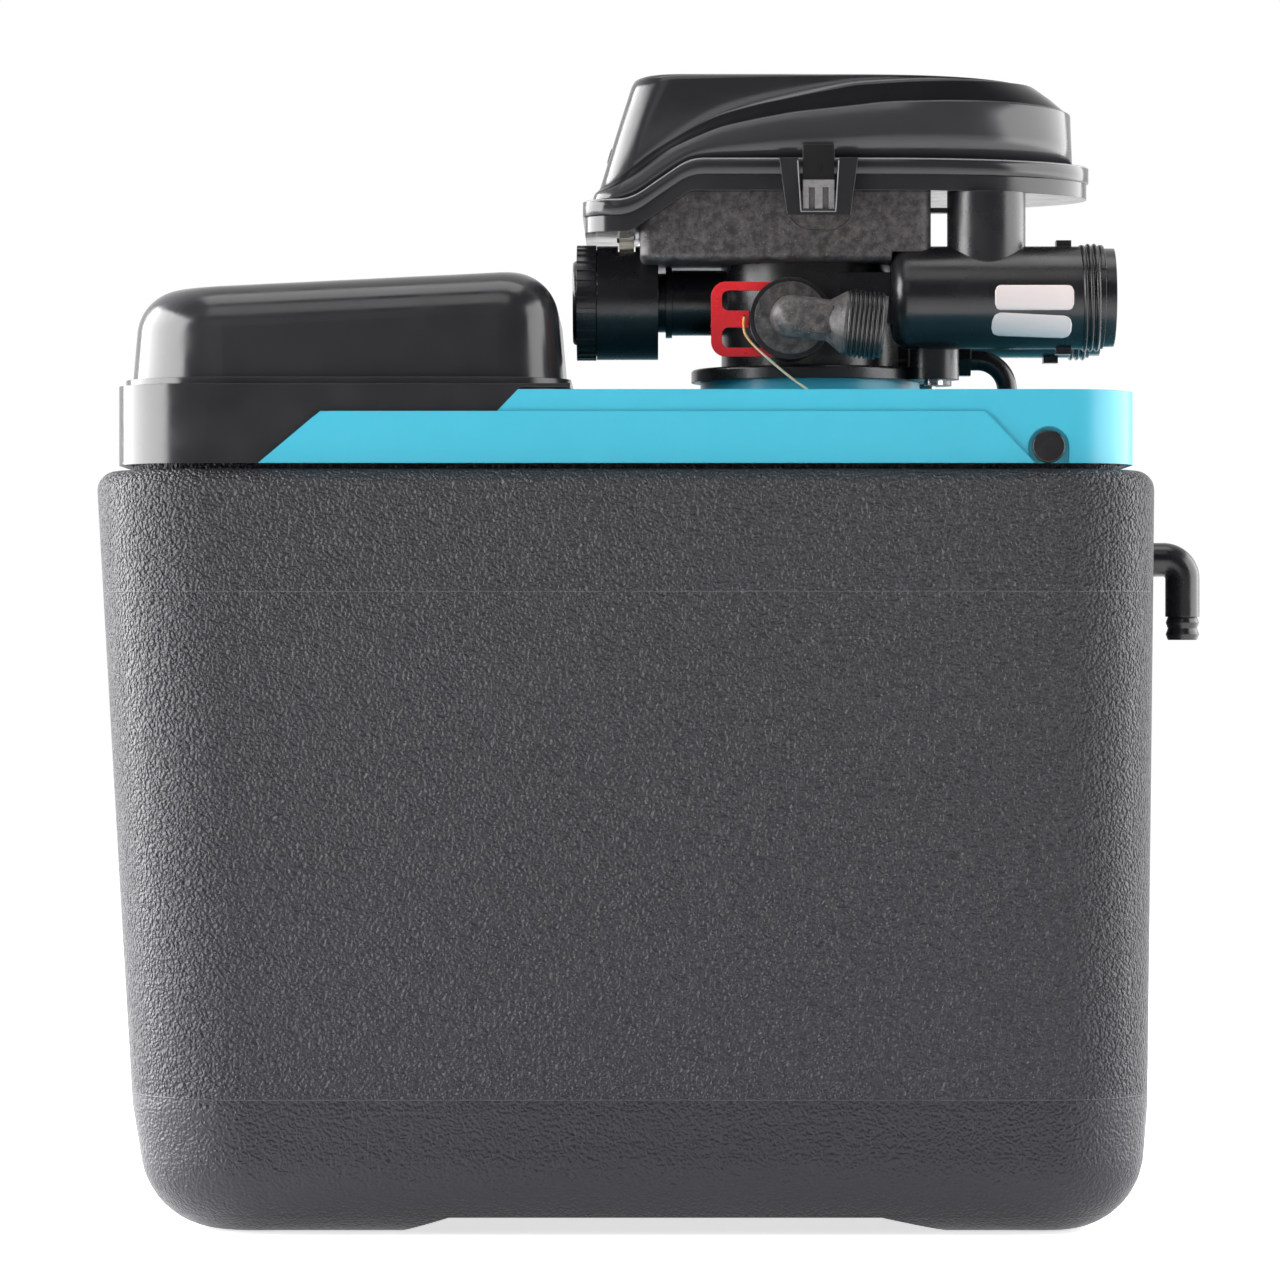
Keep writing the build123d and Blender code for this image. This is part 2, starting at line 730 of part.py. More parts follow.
with BuildPart() as valve_body:
    round_bar(level(flange_z, axis_x), flange_radius, flange_height)
    fillet(valve_body.edges().group_by(Axis.Z)[-1], flange_height / 4)
    round_bar(level(flange_z + flange_height / 2, axis_x), hub_radius, hub_height + flange_height / 2)
    round_bar(level(spigot_bottom, axis_x), vessel_neck_radius - vessel_neck_wall - running_fit,
              flange_height + overrun)
    round_bar(across(housing_x, 0, axis_z), housing_radius, housing_length)
    round_bar(across(housing_x, 0, axis_z), neck_tube_radius, housing_to_hub)
    round_bar(across(piston_tube_x - bump_length, 0, axis_z), bump_radius, bump_length)
    round_bar(across(piston_tube_x, 0, axis_z), piston_tube_radius, axis_x - piston_tube_x)
    # Bridge from the hub to the two port tubes
    with BuildSketch(level(axis_z - port_radius / 2)) as bridge:
        with Locations((axis_x + port_start / 4, 0)):
            Rectangle(port_start / 2, 2 * port_spread)
    extrude(bridge.sketch, amount=port_radius)
    for side in (-1, 1):
        with Locations((lug_x, side * lug_spread, flange_z + lug_height / 2)):
            Cylinder(lug_radius, lug_height)
        with Locations((0, side * port_spread, 0)):
            add(port_tube.part, mode=Mode.SUBTRACT)
    round_bar(facing(0, drain_x, drain_z), socket_radius, socket_reach)
    round_bar(facing(0, drain_x, drain_z), injector_radius, -(hub_radius + injector_length / 2))
    # Bores
    round_bar(across(axis_x + refill_root, tube_side, axis_z - refill_drop), refill_radius,
              refill_back, Mode.SUBTRACT)
    round_bar(across(housing_x, 0, axis_z), housing_radius - housing_wall,
              housing_length - housing_floor, Mode.SUBTRACT)
    round_bar(across(housing_x + housing_length - housing_floor - overrun, 0, axis_z),
              piston_rod_radius + running_fit, housing_floor + neck_tube_length + bump_length + overrun,
              Mode.SUBTRACT)
    round_bar(across(piston_tube_x, 0, axis_z), piston_bore, axis_x - piston_tube_x, Mode.SUBTRACT)
    round_bar(level(spigot_bottom - overrun, axis_x), riser_radius + running_fit,
              riser_top - spigot_bottom + overrun, Mode.SUBTRACT)
    round_bar(facing(socket_mouth, drain_x, drain_z), socket_bore, -socket_depth, Mode.SUBTRACT)
    round_bar(facing(hub_radius + injector_length / 2, drain_x, drain_z), injector_bore,
              injector_length, Mode.SUBTRACT)
    for side in (-1, 1):
        round_bar(level(flange_z, lug_x, side * lug_spread), screw_radius, screw_length,
                  Mode.SUBTRACT)
    # Groove of the neck seal
    with BuildSketch(level(flange_z - seal_drop - seal_section, axis_x)) as neck_groove:
        Circle(vessel_neck_radius)
        Circle(vessel_neck_radius - vessel_neck_wall - 2 * seal_section, mode=Mode.SUBTRACT)
    extrude(neck_groove.sketch, amount=2 * seal_section, mode=Mode.SUBTRACT)
    # Slots for the two arms of the drain clip, and the window for the idler gear
    for side in (-1, 1):
        slot_x = drain_x - socket_radius - overrun
        slot_end = drain_x - clip_back + clip_length + sliding_fit
        with Locations(((slot_x + slot_end) / 2, socket_mouth + clip_from_mouth,
                        drain_z + side * (clip_height - clip_arm) / 2)):
            Box(slot_end - slot_x, clip_thickness + 2 * sliding_fit, clip_arm + 2 * sliding_fit,
                mode=Mode.SUBTRACT)
    with Locations((housing_x + gear_place + gear_width / 2, 0, axis_z + housing_radius)):
        Box(gear_width + 2 * plate_gap, housing_radius, 4 * housing_wall, mode=Mode.SUBTRACT)
save(valve_body.part, "valve_body")

with BuildPart() as port_tubes:
    for side in (-1, 1):
        with Locations((0, side * port_spread, 0)):
            add(port_tube.part)
        # Ears that guide the fitting of the pipe
        for tilt in (1, -1):
            with Locations((port_x - port_lead - port_thread_length - ear_length, side * port_spread,
                            axis_z + tilt * port_radius)):
                Box(ear_length, ear_width, 2 * ear_height)
        round_bar(across(port_x, side * port_spread, axis_z), port_bore, -port_depth, Mode.SUBTRACT)
    round_bar(across(port_x, -port_spread, axis_z), meter_mouth_bore, -meter_mouth_depth, Mode.SUBTRACT)
save(port_tubes.part, "port_tubes")

# Ring seal and screws of the valve flange
with BuildPart() as neck_seal:
    with Locations((axis_x, 0, flange_z - seal_drop)):
        Torus(vessel_neck_radius - vessel_neck_wall - seal_section, seal_section)
save(neck_seal.part, "neck_seal")

with BuildPart() as collar_screws:
    for side in (-1, 1):
        round_bar(level(flange_z, lug_x, side * lug_spread), screw_radius, screw_length)
        round_bar(level(flange_z, lug_x, side * lug_spread), screw_head, -screw_radius)
save(collar_screws.part, "collar_screws")

# End cap in the open end of the drive housing, held by a ribbed ring
with BuildPart() as end_cap:
    round_bar(across(housing_x, 0, axis_z), housing_radius - housing_wall - running_fit, cap_plug)
    round_bar(across(housing_x, 0, axis_z), ring_radius - ring_wall - sliding_fit, -cap_flange)
    round_bar(across(housing_x, 0, axis_z), cap_radius, -(ring_length + cap_bulge))
    fillet(end_cap.edges().group_by(Axis.X)[0], cap_bulge)
    round_bar(across(housing_x + cap_plug, 0, axis_z), cap_radius - cap_bulge, -ring_length,
              Mode.SUBTRACT)
save(end_cap.part, "end_cap")

with BuildPart() as cap_ring:
    round_bar(across(housing_x - sliding_fit, 0, axis_z), ring_radius - ring_rib,
              sliding_fit - ring_length)
    with BuildSketch(across(housing_x - sliding_fit, 0, axis_z)) as ring_ribbing:
        with PolarLocations(ring_radius - ring_rib, ring_ribs):
            Rectangle(2 * ring_rib, ring_rib_width)
    extrude(ring_ribbing.sketch, amount=sliding_fit - ring_length)
    round_bar(across(housing_x, 0, axis_z), ring_radius - ring_wall, ring_face - ring_length,
              Mode.SUBTRACT)
    round_bar(across(housing_x, 0, axis_z), cap_radius + sliding_fit, -(ring_length + overrun),
              Mode.SUBTRACT)
save(cap_ring.part, "cap_ring")

# Drive train: a pinion on the motor, an idler, and the gear that screws the piston along
gear_x = housing_x + gear_place
drive_pitch = gear_module * gear_teeth / 2
idler_pitch = gear_module * idler_teeth / 2
pinion_pitch = gear_module * pinion_teeth / 2
idler_z = axis_z + drive_pitch + idler_pitch + gear_backlash
motor_z = idler_z + idler_pitch + pinion_pitch + gear_backlash
plate_x = gear_x + gear_width + plate_gap
housing_end = housing_x + housing_length - housing_floor


def gear_face(plane, teeth, half_tooth_turn):
    """Face of a spur gear with straight-flanked teeth, turned by half a tooth where asked."""
    pitch = gear_module * teeth / 2
    tip = pitch + gear_module * tip_share
    root = pitch - gear_module * root_share
    step = 2 * math.pi / teeth
    turn = step / 2 if half_tooth_turn else 0
    with BuildSketch(plane) as face:
        with BuildLine():
            points = []
            for tooth in range(teeth):
                middle = tooth * step + turn + math.pi / 2
                for radius, share in ((root, -root_tooth_share), (tip, -tip_tooth_share),
                                      (tip, tip_tooth_share), (root, root_tooth_share)):
                    angle = middle + share * step
                    points.append((radius * math.cos(angle), radius * math.sin(angle)))
            Polyline(*points, close=True)
        make_face()
    return face.sketch


with BuildPart() as drive_gear:
    extrude(gear_face(across(gear_x, 0, axis_z), gear_teeth, False), amount=gear_width)
    round_bar(across(housing_x + cap_plug + sliding_fit, 0, axis_z), gear_hub,
              housing_end - housing_x - cap_plug - 2 * sliding_fit)
    round_bar(across(housing_x, 0, axis_z), piston_rod_radius + running_fit, housing_length,
              Mode.SUBTRACT)
save(drive_gear.part, "drive_gear")

with BuildPart() as idler_gear:
    extrude(gear_face(across(gear_x, 0, idler_z), idler_teeth, True), amount=gear_width)
    round_bar(across(gear_x, 0, idler_z), axle_radius + running_fit, gear_width, Mode.SUBTRACT)
save(idler_gear.part, "idler_gear")

with BuildPart() as motor_pinion:
    extrude(gear_face(across(gear_x, 0, motor_z), pinion_teeth, False), amount=gear_width)
    round_bar(across(gear_x, 0, motor_z), motor_shaft, motor_length / 2)
save(motor_pinion.part, "motor_pinion")

with BuildPart() as drive_plate:
    with BuildSketch(across(plate_x, 0, idler_z)) as plate_outline:
        with Locations((0, (motor_z - idler_z) / 2)):
            SlotCenterToCenter(motor_z - idler_z, 2 * plate_half_width, rotation=90)
        Circle(2 * axle_radius)
    extrude(plate_outline.sketch, amount=plate_thickness)
    split(bisect_by=Plane.XY.offset(idler_z - 2 * axle_radius), keep=Keep.TOP)
    round_bar(across(plate_x, 0, idler_z), axle_radius, -(gear_width + 2 * plate_gap))
    round_bar(across(plate_x - overrun, 0, motor_z), motor_shaft + running_fit,
              plate_thickness + 2 * overrun, Mode.SUBTRACT)
save(drive_plate.part, "drive_plate")

motor_x = plate_x + plate_thickness
with BuildPart() as drive_motor:
    round_bar(across(motor_x, 0, motor_z), motor_radius, motor_length)
    fillet(drive_motor.edges().group_by(Axis.X)[-1], motor_radius / 6)
    round_bar(across(motor_x - overrun, 0, motor_z), motor_shaft + running_fit,
              motor_length / 2 + overrun, Mode.SUBTRACT)
save(drive_motor.part, "drive_motor")

spool_x = piston_tube_x + spool_pitch / 2
with BuildPart() as piston:
    round_bar(across(housing_x + piston_front, 0, axis_z), piston_rod_radius, piston_length)
    for spool in range(spool_count):
        round_bar(across(spool_x + spool * spool_pitch, 0, axis_z), spool_radius, spool_length)
save(piston.part, "piston")

with BuildPart() as seal_stack:
    for seal in range(spool_count + 1):
        pipe(across(piston_tube_x + seal * spool_pitch + spool_length, 0, axis_z), piston_bore,
             spool_radius + running_fit, seal_length)
save(seal_stack.part, "seal_stack")

# Drain elbow in its socket, its ring seal and the clip that holds it
clip_y = socket_mouth + clip_from_mouth
groove_radius = clip_height / 2 - clip_arm - sliding_fit
outlet_y = socket_mouth - elbow_drop
outlet_along = Vector(1, 0, 0).rotate(Axis.Y, elbow_tilt)


def outlet(distance):
    """Plane square to the elbow's outlet at a distance from its corner."""
    origin = Vector(drain_x, outlet_y, drain_z) + outlet_along * distance
    return Plane(origin=origin, x_dir=(0, 1, 0), z_dir=outlet_along)


def spigot(inner, outer, radius):
    """Bored length of the elbow's spigot between two places along Y."""
    round_bar(facing(inner, drain_x, drain_z), radius, inner - outer)
    round_bar(facing(inner + overrun, drain_x, drain_z), elbow_bore, inner - outer + 2 * overrun,
              Mode.SUBTRACT)


spigot_end = socket_mouth + spigot_length
seal_y = spigot_end - 3 * drain_seal
groove_inner = clip_y + clip_thickness / 2 + sliding_fit
groove_outer = clip_y - clip_thickness / 2 - sliding_fit

# The spigot behind the clip's groove, and the neck between the clip's arms
with BuildPart() as spigot_tip:
    spigot(spigot_end, groove_inner, socket_bore - running_fit)
    with BuildSketch(facing(seal_y + drain_seal, drain_x, drain_z)) as seal_groove:
        Circle(socket_bore)
        Circle(socket_bore - running_fit - 2 * drain_seal, mode=Mode.SUBTRACT)
    extrude(seal_groove.sketch, amount=2 * drain_seal, mode=Mode.SUBTRACT)
save(spigot_tip.part, "spigot_tip")

with BuildPart() as spigot_neck:
    spigot(groove_inner, groove_outer, groove_radius)
save(spigot_neck.part, "spigot_neck")

with BuildPart() as drain_elbow:
    round_bar(facing(groove_outer, drain_x, drain_z), socket_bore - running_fit,
              groove_outer - socket_mouth)
    round_bar(facing(socket_mouth - sliding_fit, drain_x, drain_z), drain_disc_radius, drain_disc)
    round_bar(facing(socket_mouth, drain_x, drain_z), elbow_radius, elbow_drop)
    with Locations((drain_x, outlet_y, drain_z)):
        Sphere(elbow_radius)
    round_bar(outlet(0), elbow_radius, elbow_reach)
    with BuildSketch(outlet(elbow_reach - elbow_thread_length - elbow_flare)) as flare_start:
        Circle(elbow_radius)
    with BuildSketch(outlet(elbow_reach - elbow_thread_length)) as flare_end:
        Circle(elbow_thread_radius)
    loft([flare_start.sketch, flare_end.sketch])
    round_bar(outlet(elbow_reach - elbow_thread_length), elbow_thread_radius, elbow_thread_length)
    # Raised flat on the front of the outlet
    with BuildSketch(outlet(elbow_panel_start)) as panel_section:
        with Locations((-elbow_radius / 2, 0)):
            Rectangle(elbow_radius, elbow_panel_height)
    extrude(panel_section.sketch, amount=elbow_panel_length)
    round_bar(facing(socket_mouth + spigot_length + overrun, drain_x, drain_z), elbow_bore,
              spigot_length + elbow_drop + overrun, Mode.SUBTRACT)
    round_bar(outlet(0), elbow_bore, elbow_reach + overrun, Mode.SUBTRACT)
save(drain_elbow.part, "drain_elbow")

with BuildPart() as drain_seal_ring:
    with Locations(Location(Plane(origin=(drain_x, seal_y, drain_z), z_dir=(0, 1, 0)))):
        Torus(socket_bore - running_fit - drain_seal, drain_seal)
save(drain_seal_ring.part, "drain_seal_ring")

clip_x = drain_x - clip_back
with BuildPart() as drain_clip:
    with BuildSketch(facing(clip_y + clip_thickness / 2, clip_x, drain_z)) as clip_outline:
        with Locations((clip_length / 2, 0)):
            Rectangle(clip_length, clip_height)
        fillet(clip_outline.vertices().group_by(Axis.X)[0], clip_corner)
        inner_height = clip_height - 2 * clip_arm
        middle_end = drain_x - clip_x - socket_radius - sliding_fit
        with BuildLine():
            Polyline((clip_length + overrun, inner_height / 2), (clip_length + overrun, -inner_height / 2),
                     (middle_end, -inner_height / 2), (middle_end, inner_height / 2), close=True)
        make_face(mode=Mode.SUBTRACT)
        loop_height = (inner_height - clip_middle) / 2
        for side in (-1, 1):
            with BuildLine():
                loop_low = side * clip_middle / 2
                loop_high = side * inner_height / 2
                Polyline((clip_bar, loop_low), (middle_end + overrun, loop_low),
                         (middle_end + overrun, loop_high), (clip_bar, loop_high), close=True)
            make_face(mode=Mode.SUBTRACT)
        with Locations((middle_end - clip_middle / 4, clip_middle / 8)):
            Circle(clip_hole, mode=Mode.SUBTRACT)
        inner_corners = clip_outline.vertices().filter_by_position(Axis.X, clip_bar - sliding_fit,
                                                                   clip_bar + sliding_fit)
        fillet(inner_corners, loop_height / 3)
    extrude(clip_outline.sketch, amount=clip_thickness)
save(drain_clip.part, "drain_clip")

# Injector and its cap on the far side
injector_mouth = hub_radius + injector_length / 2
with BuildPart() as injector:
    round_bar(facing(injector_mouth, drain_x, drain_z), injector_bore, injector_length)
    round_bar(facing(injector_mouth + overrun, drain_x, drain_z), injector_bore / 3,
              injector_length + 2 * overrun, Mode.SUBTRACT)
save(injector.part, "injector")

with BuildPart() as injector_cap:
    with BuildSketch(facing(injector_mouth, drain_x, drain_z)) as injector_knob:
        Circle(injector_cap_radius)
        with PolarLocations(injector_cap_radius, injector_flutes):
            Circle(injector_cap_radius / 8, mode=Mode.SUBTRACT)
    extrude(injector_knob.sketch, amount=-injector_cap_length)
save(injector_cap.part, "injector_cap")

# Flow meter: a tower on the near port tube and a turbine in the tube's bore
casing_bottom = hub_top
tray_foot = axis_z + tray_low
tray_high = tray_foot + tray_step

with BuildPart() as meter_tower:
    round_bar(level(axis_z + port_radius / 2, tower_x, -port_spread), tower_radius,
              tray_high - axis_z - port_radius / 2)
    casing_end = axis_x - casing_front + casing_length
    with BuildSketch(level(tray_high - 4 * meter_bar, (casing_end + tower_x) / 2, -port_spread)) as bar_plan:
        Rectangle(tower_x - casing_end, 3 * meter_bar)
    extrude(bar_plan.sketch, amount=meter_bar)
    round_bar(across(port_start, -port_spread, axis_z), port_radius, port_length, Mode.SUBTRACT)
save(meter_tower.part, "meter_tower")

turbine_x = tower_x - turbine_length / 2
with BuildPart() as meter_turbine:
    with BuildSketch(across(turbine_x, -port_spread, axis_z)) as turbine_face:
        Circle(turbine_hub)
        with PolarLocations((turbine_hub + turbine_radius) / 2 - overrun, turbine_blades):
            Rectangle(turbine_radius - turbine_hub, turbine_hub / 3)
    extrude(turbine_face.sketch, amount=turbine_length)
    round_bar(across(turbine_x - overrun, -port_spread, axis_z), axle_radius + running_fit,
              turbine_length + 2 * overrun, Mode.SUBTRACT)
save(meter_turbine.part, "meter_turbine")

with BuildPart() as turbine_cage:
    round_bar(across(turbine_x - 2 * turbine_hub, -port_spread, axis_z), axle_radius,
              turbine_length + 4 * turbine_hub)
    for end in (turbine_x - 2 * turbine_hub, turbine_x + turbine_length + turbine_hub):
        with BuildSketch(across(end, -port_spread, axis_z)) as cage_face:
            Circle(port_bore)
            Circle(port_bore - axle_radius, mode=Mode.SUBTRACT)
            Rectangle(2 * port_bore - axle_radius, axle_radius)
            Rectangle(axle_radius, 2 * port_bore - axle_radius)
        extrude(cage_face.sketch, amount=turbine_hub)
save(turbine_cage.part, "turbine_cage")

# Head: a tray with an S-shaped step, a casing under it and a cover on its rim
head_x = axis_x - head_front
head_end = head_x + head_length
tray_tail = tail_share * head_length
cover_round = cover_round_share * head_length
step_x = head_x + step_start
casing_x = axis_x - casing_front


def head_plan(plane, inset):
    """Outline of the head: rounded front corners and a long rounded tail."""
    half = head_half_width - inset
    tail_x = head_end - tray_tail
    corner = tray_front_corner - inset
    front = head_x + inset
    with BuildSketch(plane) as plan:
        with BuildLine():
            Line((tail_x, half), (front + corner, half))
            EllipticalCenterArc((front + corner, half - corner), corner, corner, start_angle=90,
                                arc_size=90)
            Line((front, half - corner), (front, corner - half))
            EllipticalCenterArc((front + corner, corner - half), corner, corner, start_angle=180,
                                arc_size=90)
            Line((front + corner, -half), (tail_x, -half))
            EllipticalCenterArc((tail_x, 0), tray_tail - inset, half, start_angle=270, arc_size=180)
        make_face()
    return plan.sketch


def step_block(low, top, half, mode):
    """Block over the head's length whose underside climbs the S-bend from a low height."""
    foot = (step_x, low)
    knee = (step_x + step_run, low + tray_step)
    with BuildSketch(Plane.XZ) as side:
        with BuildLine():
            FilletPolyline((head_x - overrun, low), foot, knee, (head_end + overrun, low + tray_step),
                           radius=step_round)
            Polyline((head_end + overrun, low + tray_step), (head_end + overrun, top),
                     (head_x - overrun, top), (head_x - overrun, low))
        make_face()
    extrude(side.sketch, amount=half, both=True, mode=mode)


head_ceiling = axis_z + 2 * cover_top
tray_top = tray_foot + tray_band

with BuildPart() as above_tray:
    step_block(tray_top, head_ceiling, cabinet_width, Mode.ADD)

with BuildPart() as tray_space:
    step_block(tray_foot + tray_wall, head_ceiling, cabinet_width, Mode.ADD)
    extrude(head_plan(level(tray_foot), tray_wall), amount=head_ceiling, mode=Mode.INTERSECT)

with BuildPart() as gear_casing:
    plan_block(casing_bottom, tray_high + tray_band, casing_x, casing_x + casing_length,
               casing_half_width, casing_round, casing_round)
    fillet(gear_casing.edges().group_by(Axis.Z)[0], casing_round / 2)
    plan_block(casing_bottom + tray_wall, tray_high + 2 * tray_band, casing_x + tray_wall,
               casing_x + casing_length - tray_wall, casing_half_width - tray_wall,
               casing_round / 2, casing_round / 2, Mode.SUBTRACT)
    # Two cradles under the motor
    for cradle in (1, 2):
        with Locations((motor_x + cradle * motor_length / 3, 0,
                        (casing_bottom + tray_wall + motor_z) / 2)):
            Box(tray_wall, motor_radius, motor_z - casing_bottom - tray_wall)
    round_bar(across(motor_x, 0, motor_z), motor_radius, motor_length, Mode.SUBTRACT)
    step_block(tray_foot, head_ceiling, cabinet_width, Mode.SUBTRACT)
    # Saddles over the drive housing and the two port tubes
    round_bar(across(housing_x, 0, axis_z), housing_radius, housing_length, Mode.SUBTRACT)
    for side in (-1, 1):
        round_bar(across(port_start, side * port_spread, axis_z), port_radius, port_length,
                  Mode.SUBTRACT)
save(gear_casing.part, "gear_casing")

with BuildPart() as head_tray:
    extrude(head_plan(level(tray_foot - overrun), 0), amount=head_ceiling)
    step_block(tray_foot, head_ceiling, cabinet_width, Mode.INTERSECT)
    add(above_tray.part, mode=Mode.SUBTRACT)
    add(tray_space.part, mode=Mode.SUBTRACT)
    # Opening over the casing, and the window for the idler gear and its plate
    plan_block(tray_foot, head_ceiling, casing_x + 3 * tray_wall,
               casing_x + casing_length - 2 * tray_wall, casing_half_width - 3 * tray_wall,
               casing_round, casing_round, Mode.SUBTRACT)
    window_start = gear_x - plate_gap
    with Locations(((window_start + casing_x + 3 * tray_wall) / 2, 0, tray_foot + 2 * tray_wall)):
        Box(casing_x + 3 * tray_wall - window_start + overrun, 2 * plate_half_width + 2 * loose_fit,
            8 * tray_wall, mode=Mode.SUBTRACT)
save(head_tray.part, "head_tray")

# Side outlines of the cover, as shares of its length and of its height over the tray's rim
cover_x = head_x + cover_inset
cover_foot = tray_top
cover_high = axis_z + cover_top
cover_run = head_end - cover_inset - cover_x
cover_rise = cover_high - cover_foot
ridge_shares = ((0.006, 0.07), (0.088, 0.22), (0.21, 0.52), (0.405, 0.70), (0.69, 0.79), (0.97, 0.72))
crown_shares = ((0.078, 0.89), (0.125, 0.985), (0.35, 1.0), (0.60, 0.995), (0.845, 0.93), (0.972, 0.70))


def cover_point(share_x, share_z, inset):
    """Point of the cover's side outline, drawn in by an inset."""
    return (cover_x + share_x * cover_run, cover_foot + share_z * cover_rise - inset)


def under_ridge(inset):
    """Block under the cover's ridge, which climbs from the front to the rear."""
    points = [cover_point(x, z, inset) for x, z in ridge_shares]
    floor = cover_foot - 2 * inset
    with BuildSketch(Plane.XZ) as side:
        with BuildLine():
            Spline(*points)
            Polyline(points[-1], (head_end, points[-1][1]), (head_end, floor), (cover_x + inset, floor),
                     points[0])
        make_face()
    extrude(side.sketch, amount=cabinet_width, both=True)


def under_crown(inset, half):
    """Block under the cover's upper outline, with its sloping front."""
    points = [cover_point(x, z, inset) for x, z in crown_shares]
    foot = (cover_x + inset + (points[0][0] - cover_x) * front_share, cover_foot)
    rear = head_end - cover_inset - inset
    floor = cover_foot - 2 * inset
    with BuildSketch(Plane.XZ) as side:
        with BuildLine():
            Polyline(foot, (points[0][0] + inset, points[0][1]), points[1])
            Spline(*points[1:-1])
            Polyline(points[-2], (points[-1][0] - inset, points[-1][1]), (rear, cover_foot + tray_step),
                     (rear, floor), (cover_x + inset, floor), foot)
        make_face()
    extrude(side.sketch, amount=half, both=True)


with BuildPart() as cover_skirt:
    under_ridge(0)
    extrude(head_plan(level(cover_foot - overrun), cover_inset), amount=head_ceiling,
            mode=Mode.INTERSECT)

with BuildPart() as cover_crown:
    under_crown(0, head_half_width)
    extrude(head_plan(level(cover_foot - overrun), cover_shoulder_inset),
            amount=head_ceiling, mode=Mode.INTERSECT)
    crown_edges = cover_crown.edges().filter_by(lambda e: e.center().Z > cover_foot + cover_rise * 0.8)
    fillet(crown_edges, cover_round)

with BuildPart() as skirt_space:
    under_ridge(cover_wall)
    extrude(head_plan(level(cover_foot - 2 * cover_wall), cover_inset + cover_wall),
            amount=head_ceiling, mode=Mode.INTERSECT)

with BuildPart() as crown_space:
    under_crown(cover_wall, cabinet_width)
    extrude(head_plan(level(cover_foot - 2 * cover_wall), cover_shoulder_inset + cover_wall),
            amount=head_ceiling, mode=Mode.INTERSECT)

# The front face of the cover carries the display and the keys
face_low = Vector(cover_x + front_share * crown_shares[0][0] * cover_run, 0, cover_foot)
face_high = Vector(cover_x + crown_shares[0][0] * cover_run, 0, cover_foot + crown_shares[0][1] * cover_rise)
face_up = (face_high - face_low).normalized()
face_out = Vector(-face_up.Z, 0, face_up.X)


def front_face(up_share, depth=0):
    """Plane on the cover's front face at a share of its height, sunk by a depth."""
    origin = face_low + (face_high - face_low) * up_share - face_out * depth
    return Plane(origin=origin, x_dir=(0, -1, 0), z_dir=face_out)


key_places = [(key - (key_count - 1) / 2) * key_pitch for key in range(key_count)]

with BuildPart() as head_cover:
    add(cover_skirt.part)
    add(cover_crown.part)
    add(skirt_space.part, mode=Mode.SUBTRACT)
    add(crown_space.part, mode=Mode.SUBTRACT)
    add(above_tray.part, mode=Mode.INTERSECT)
    with BuildSketch(front_face(lens_share)) as lens_recess:
        RectangleRounded(lens_width + 2 * running_fit, lens_height + 2 * running_fit, lens_thickness)
    extrude(lens_recess.sketch, amount=-lens_thickness, mode=Mode.SUBTRACT)
    with BuildSketch(front_face(key_share)) as key_holes:
        with Locations(*[(place, 0) for place in key_places]):
            Circle(key_radius + sliding_fit)
    extrude(key_holes.sketch, amount=-3 * cover_wall, mode=Mode.SUBTRACT)
save(head_cover.part, "head_cover")

with BuildPart() as display_lens:
    with BuildSketch(front_face(lens_share)) as lens_outline:
        RectangleRounded(lens_width, lens_height, lens_thickness)
    extrude(lens_outline.sketch, amount=-lens_thickness)
save(display_lens.part, "display_lens")

for number, place in enumerate(key_places, start=1):
    with BuildPart() as key:
        with BuildSketch(front_face(key_share, -key_proud)) as key_top:
            with Locations((place, 0)):
                Circle(key_radius)
        extrude(key_top.sketch, amount=-(key_proud + cover_wall + key_stem))
        with BuildSketch(front_face(key_share, cover_wall + 2 * sliding_fit)) as key_flange:
            with Locations((place, 0)):
                Circle(key_radius + key_lip)
        extrude(key_flange.sketch, amount=-key_proud)
        fillet(key.edges().sort_by(Axis(origin=(0, 0, 0), direction=tuple(face_out)))[-1],
               key_proud / 3)
    save(key.part, f"key_{number}")

# Latches: a frame on each side of the tray, and a hook on the cover that snaps into it
latch_x = axis_x + latch_from_axis
latch_top = tray_top + tray_step
latch_bottom = latch_top - latch_height


def latch_sketch(side, offset, width, foot_width, low, high):
    """Tapered outline on one side of the head."""
    with BuildSketch(facing(side * (head_half_width + offset), latch_x, 0)) as outline:
        with BuildLine():
            Polyline((-foot_width / 2, low), (foot_width / 2, low), (width / 2, high),
                     (-width / 2, high), close=True)
        make_face()
    return outline.sketch


with BuildPart() as cover_latches:
    for side in (-1, 1):
        extrude(latch_sketch(side, 0, latch_width, latch_foot_width, latch_bottom, latch_top),
                amount=-side * latch_thickness)
        extrude(latch_sketch(side, 0, latch_window, latch_hook + 2 * loose_fit,
                             latch_bottom + latch_bar, latch_top + overrun),
                amount=-side * (latch_thickness + overrun), mode=Mode.SUBTRACT)
save(cover_latches.part, "cover_latches")

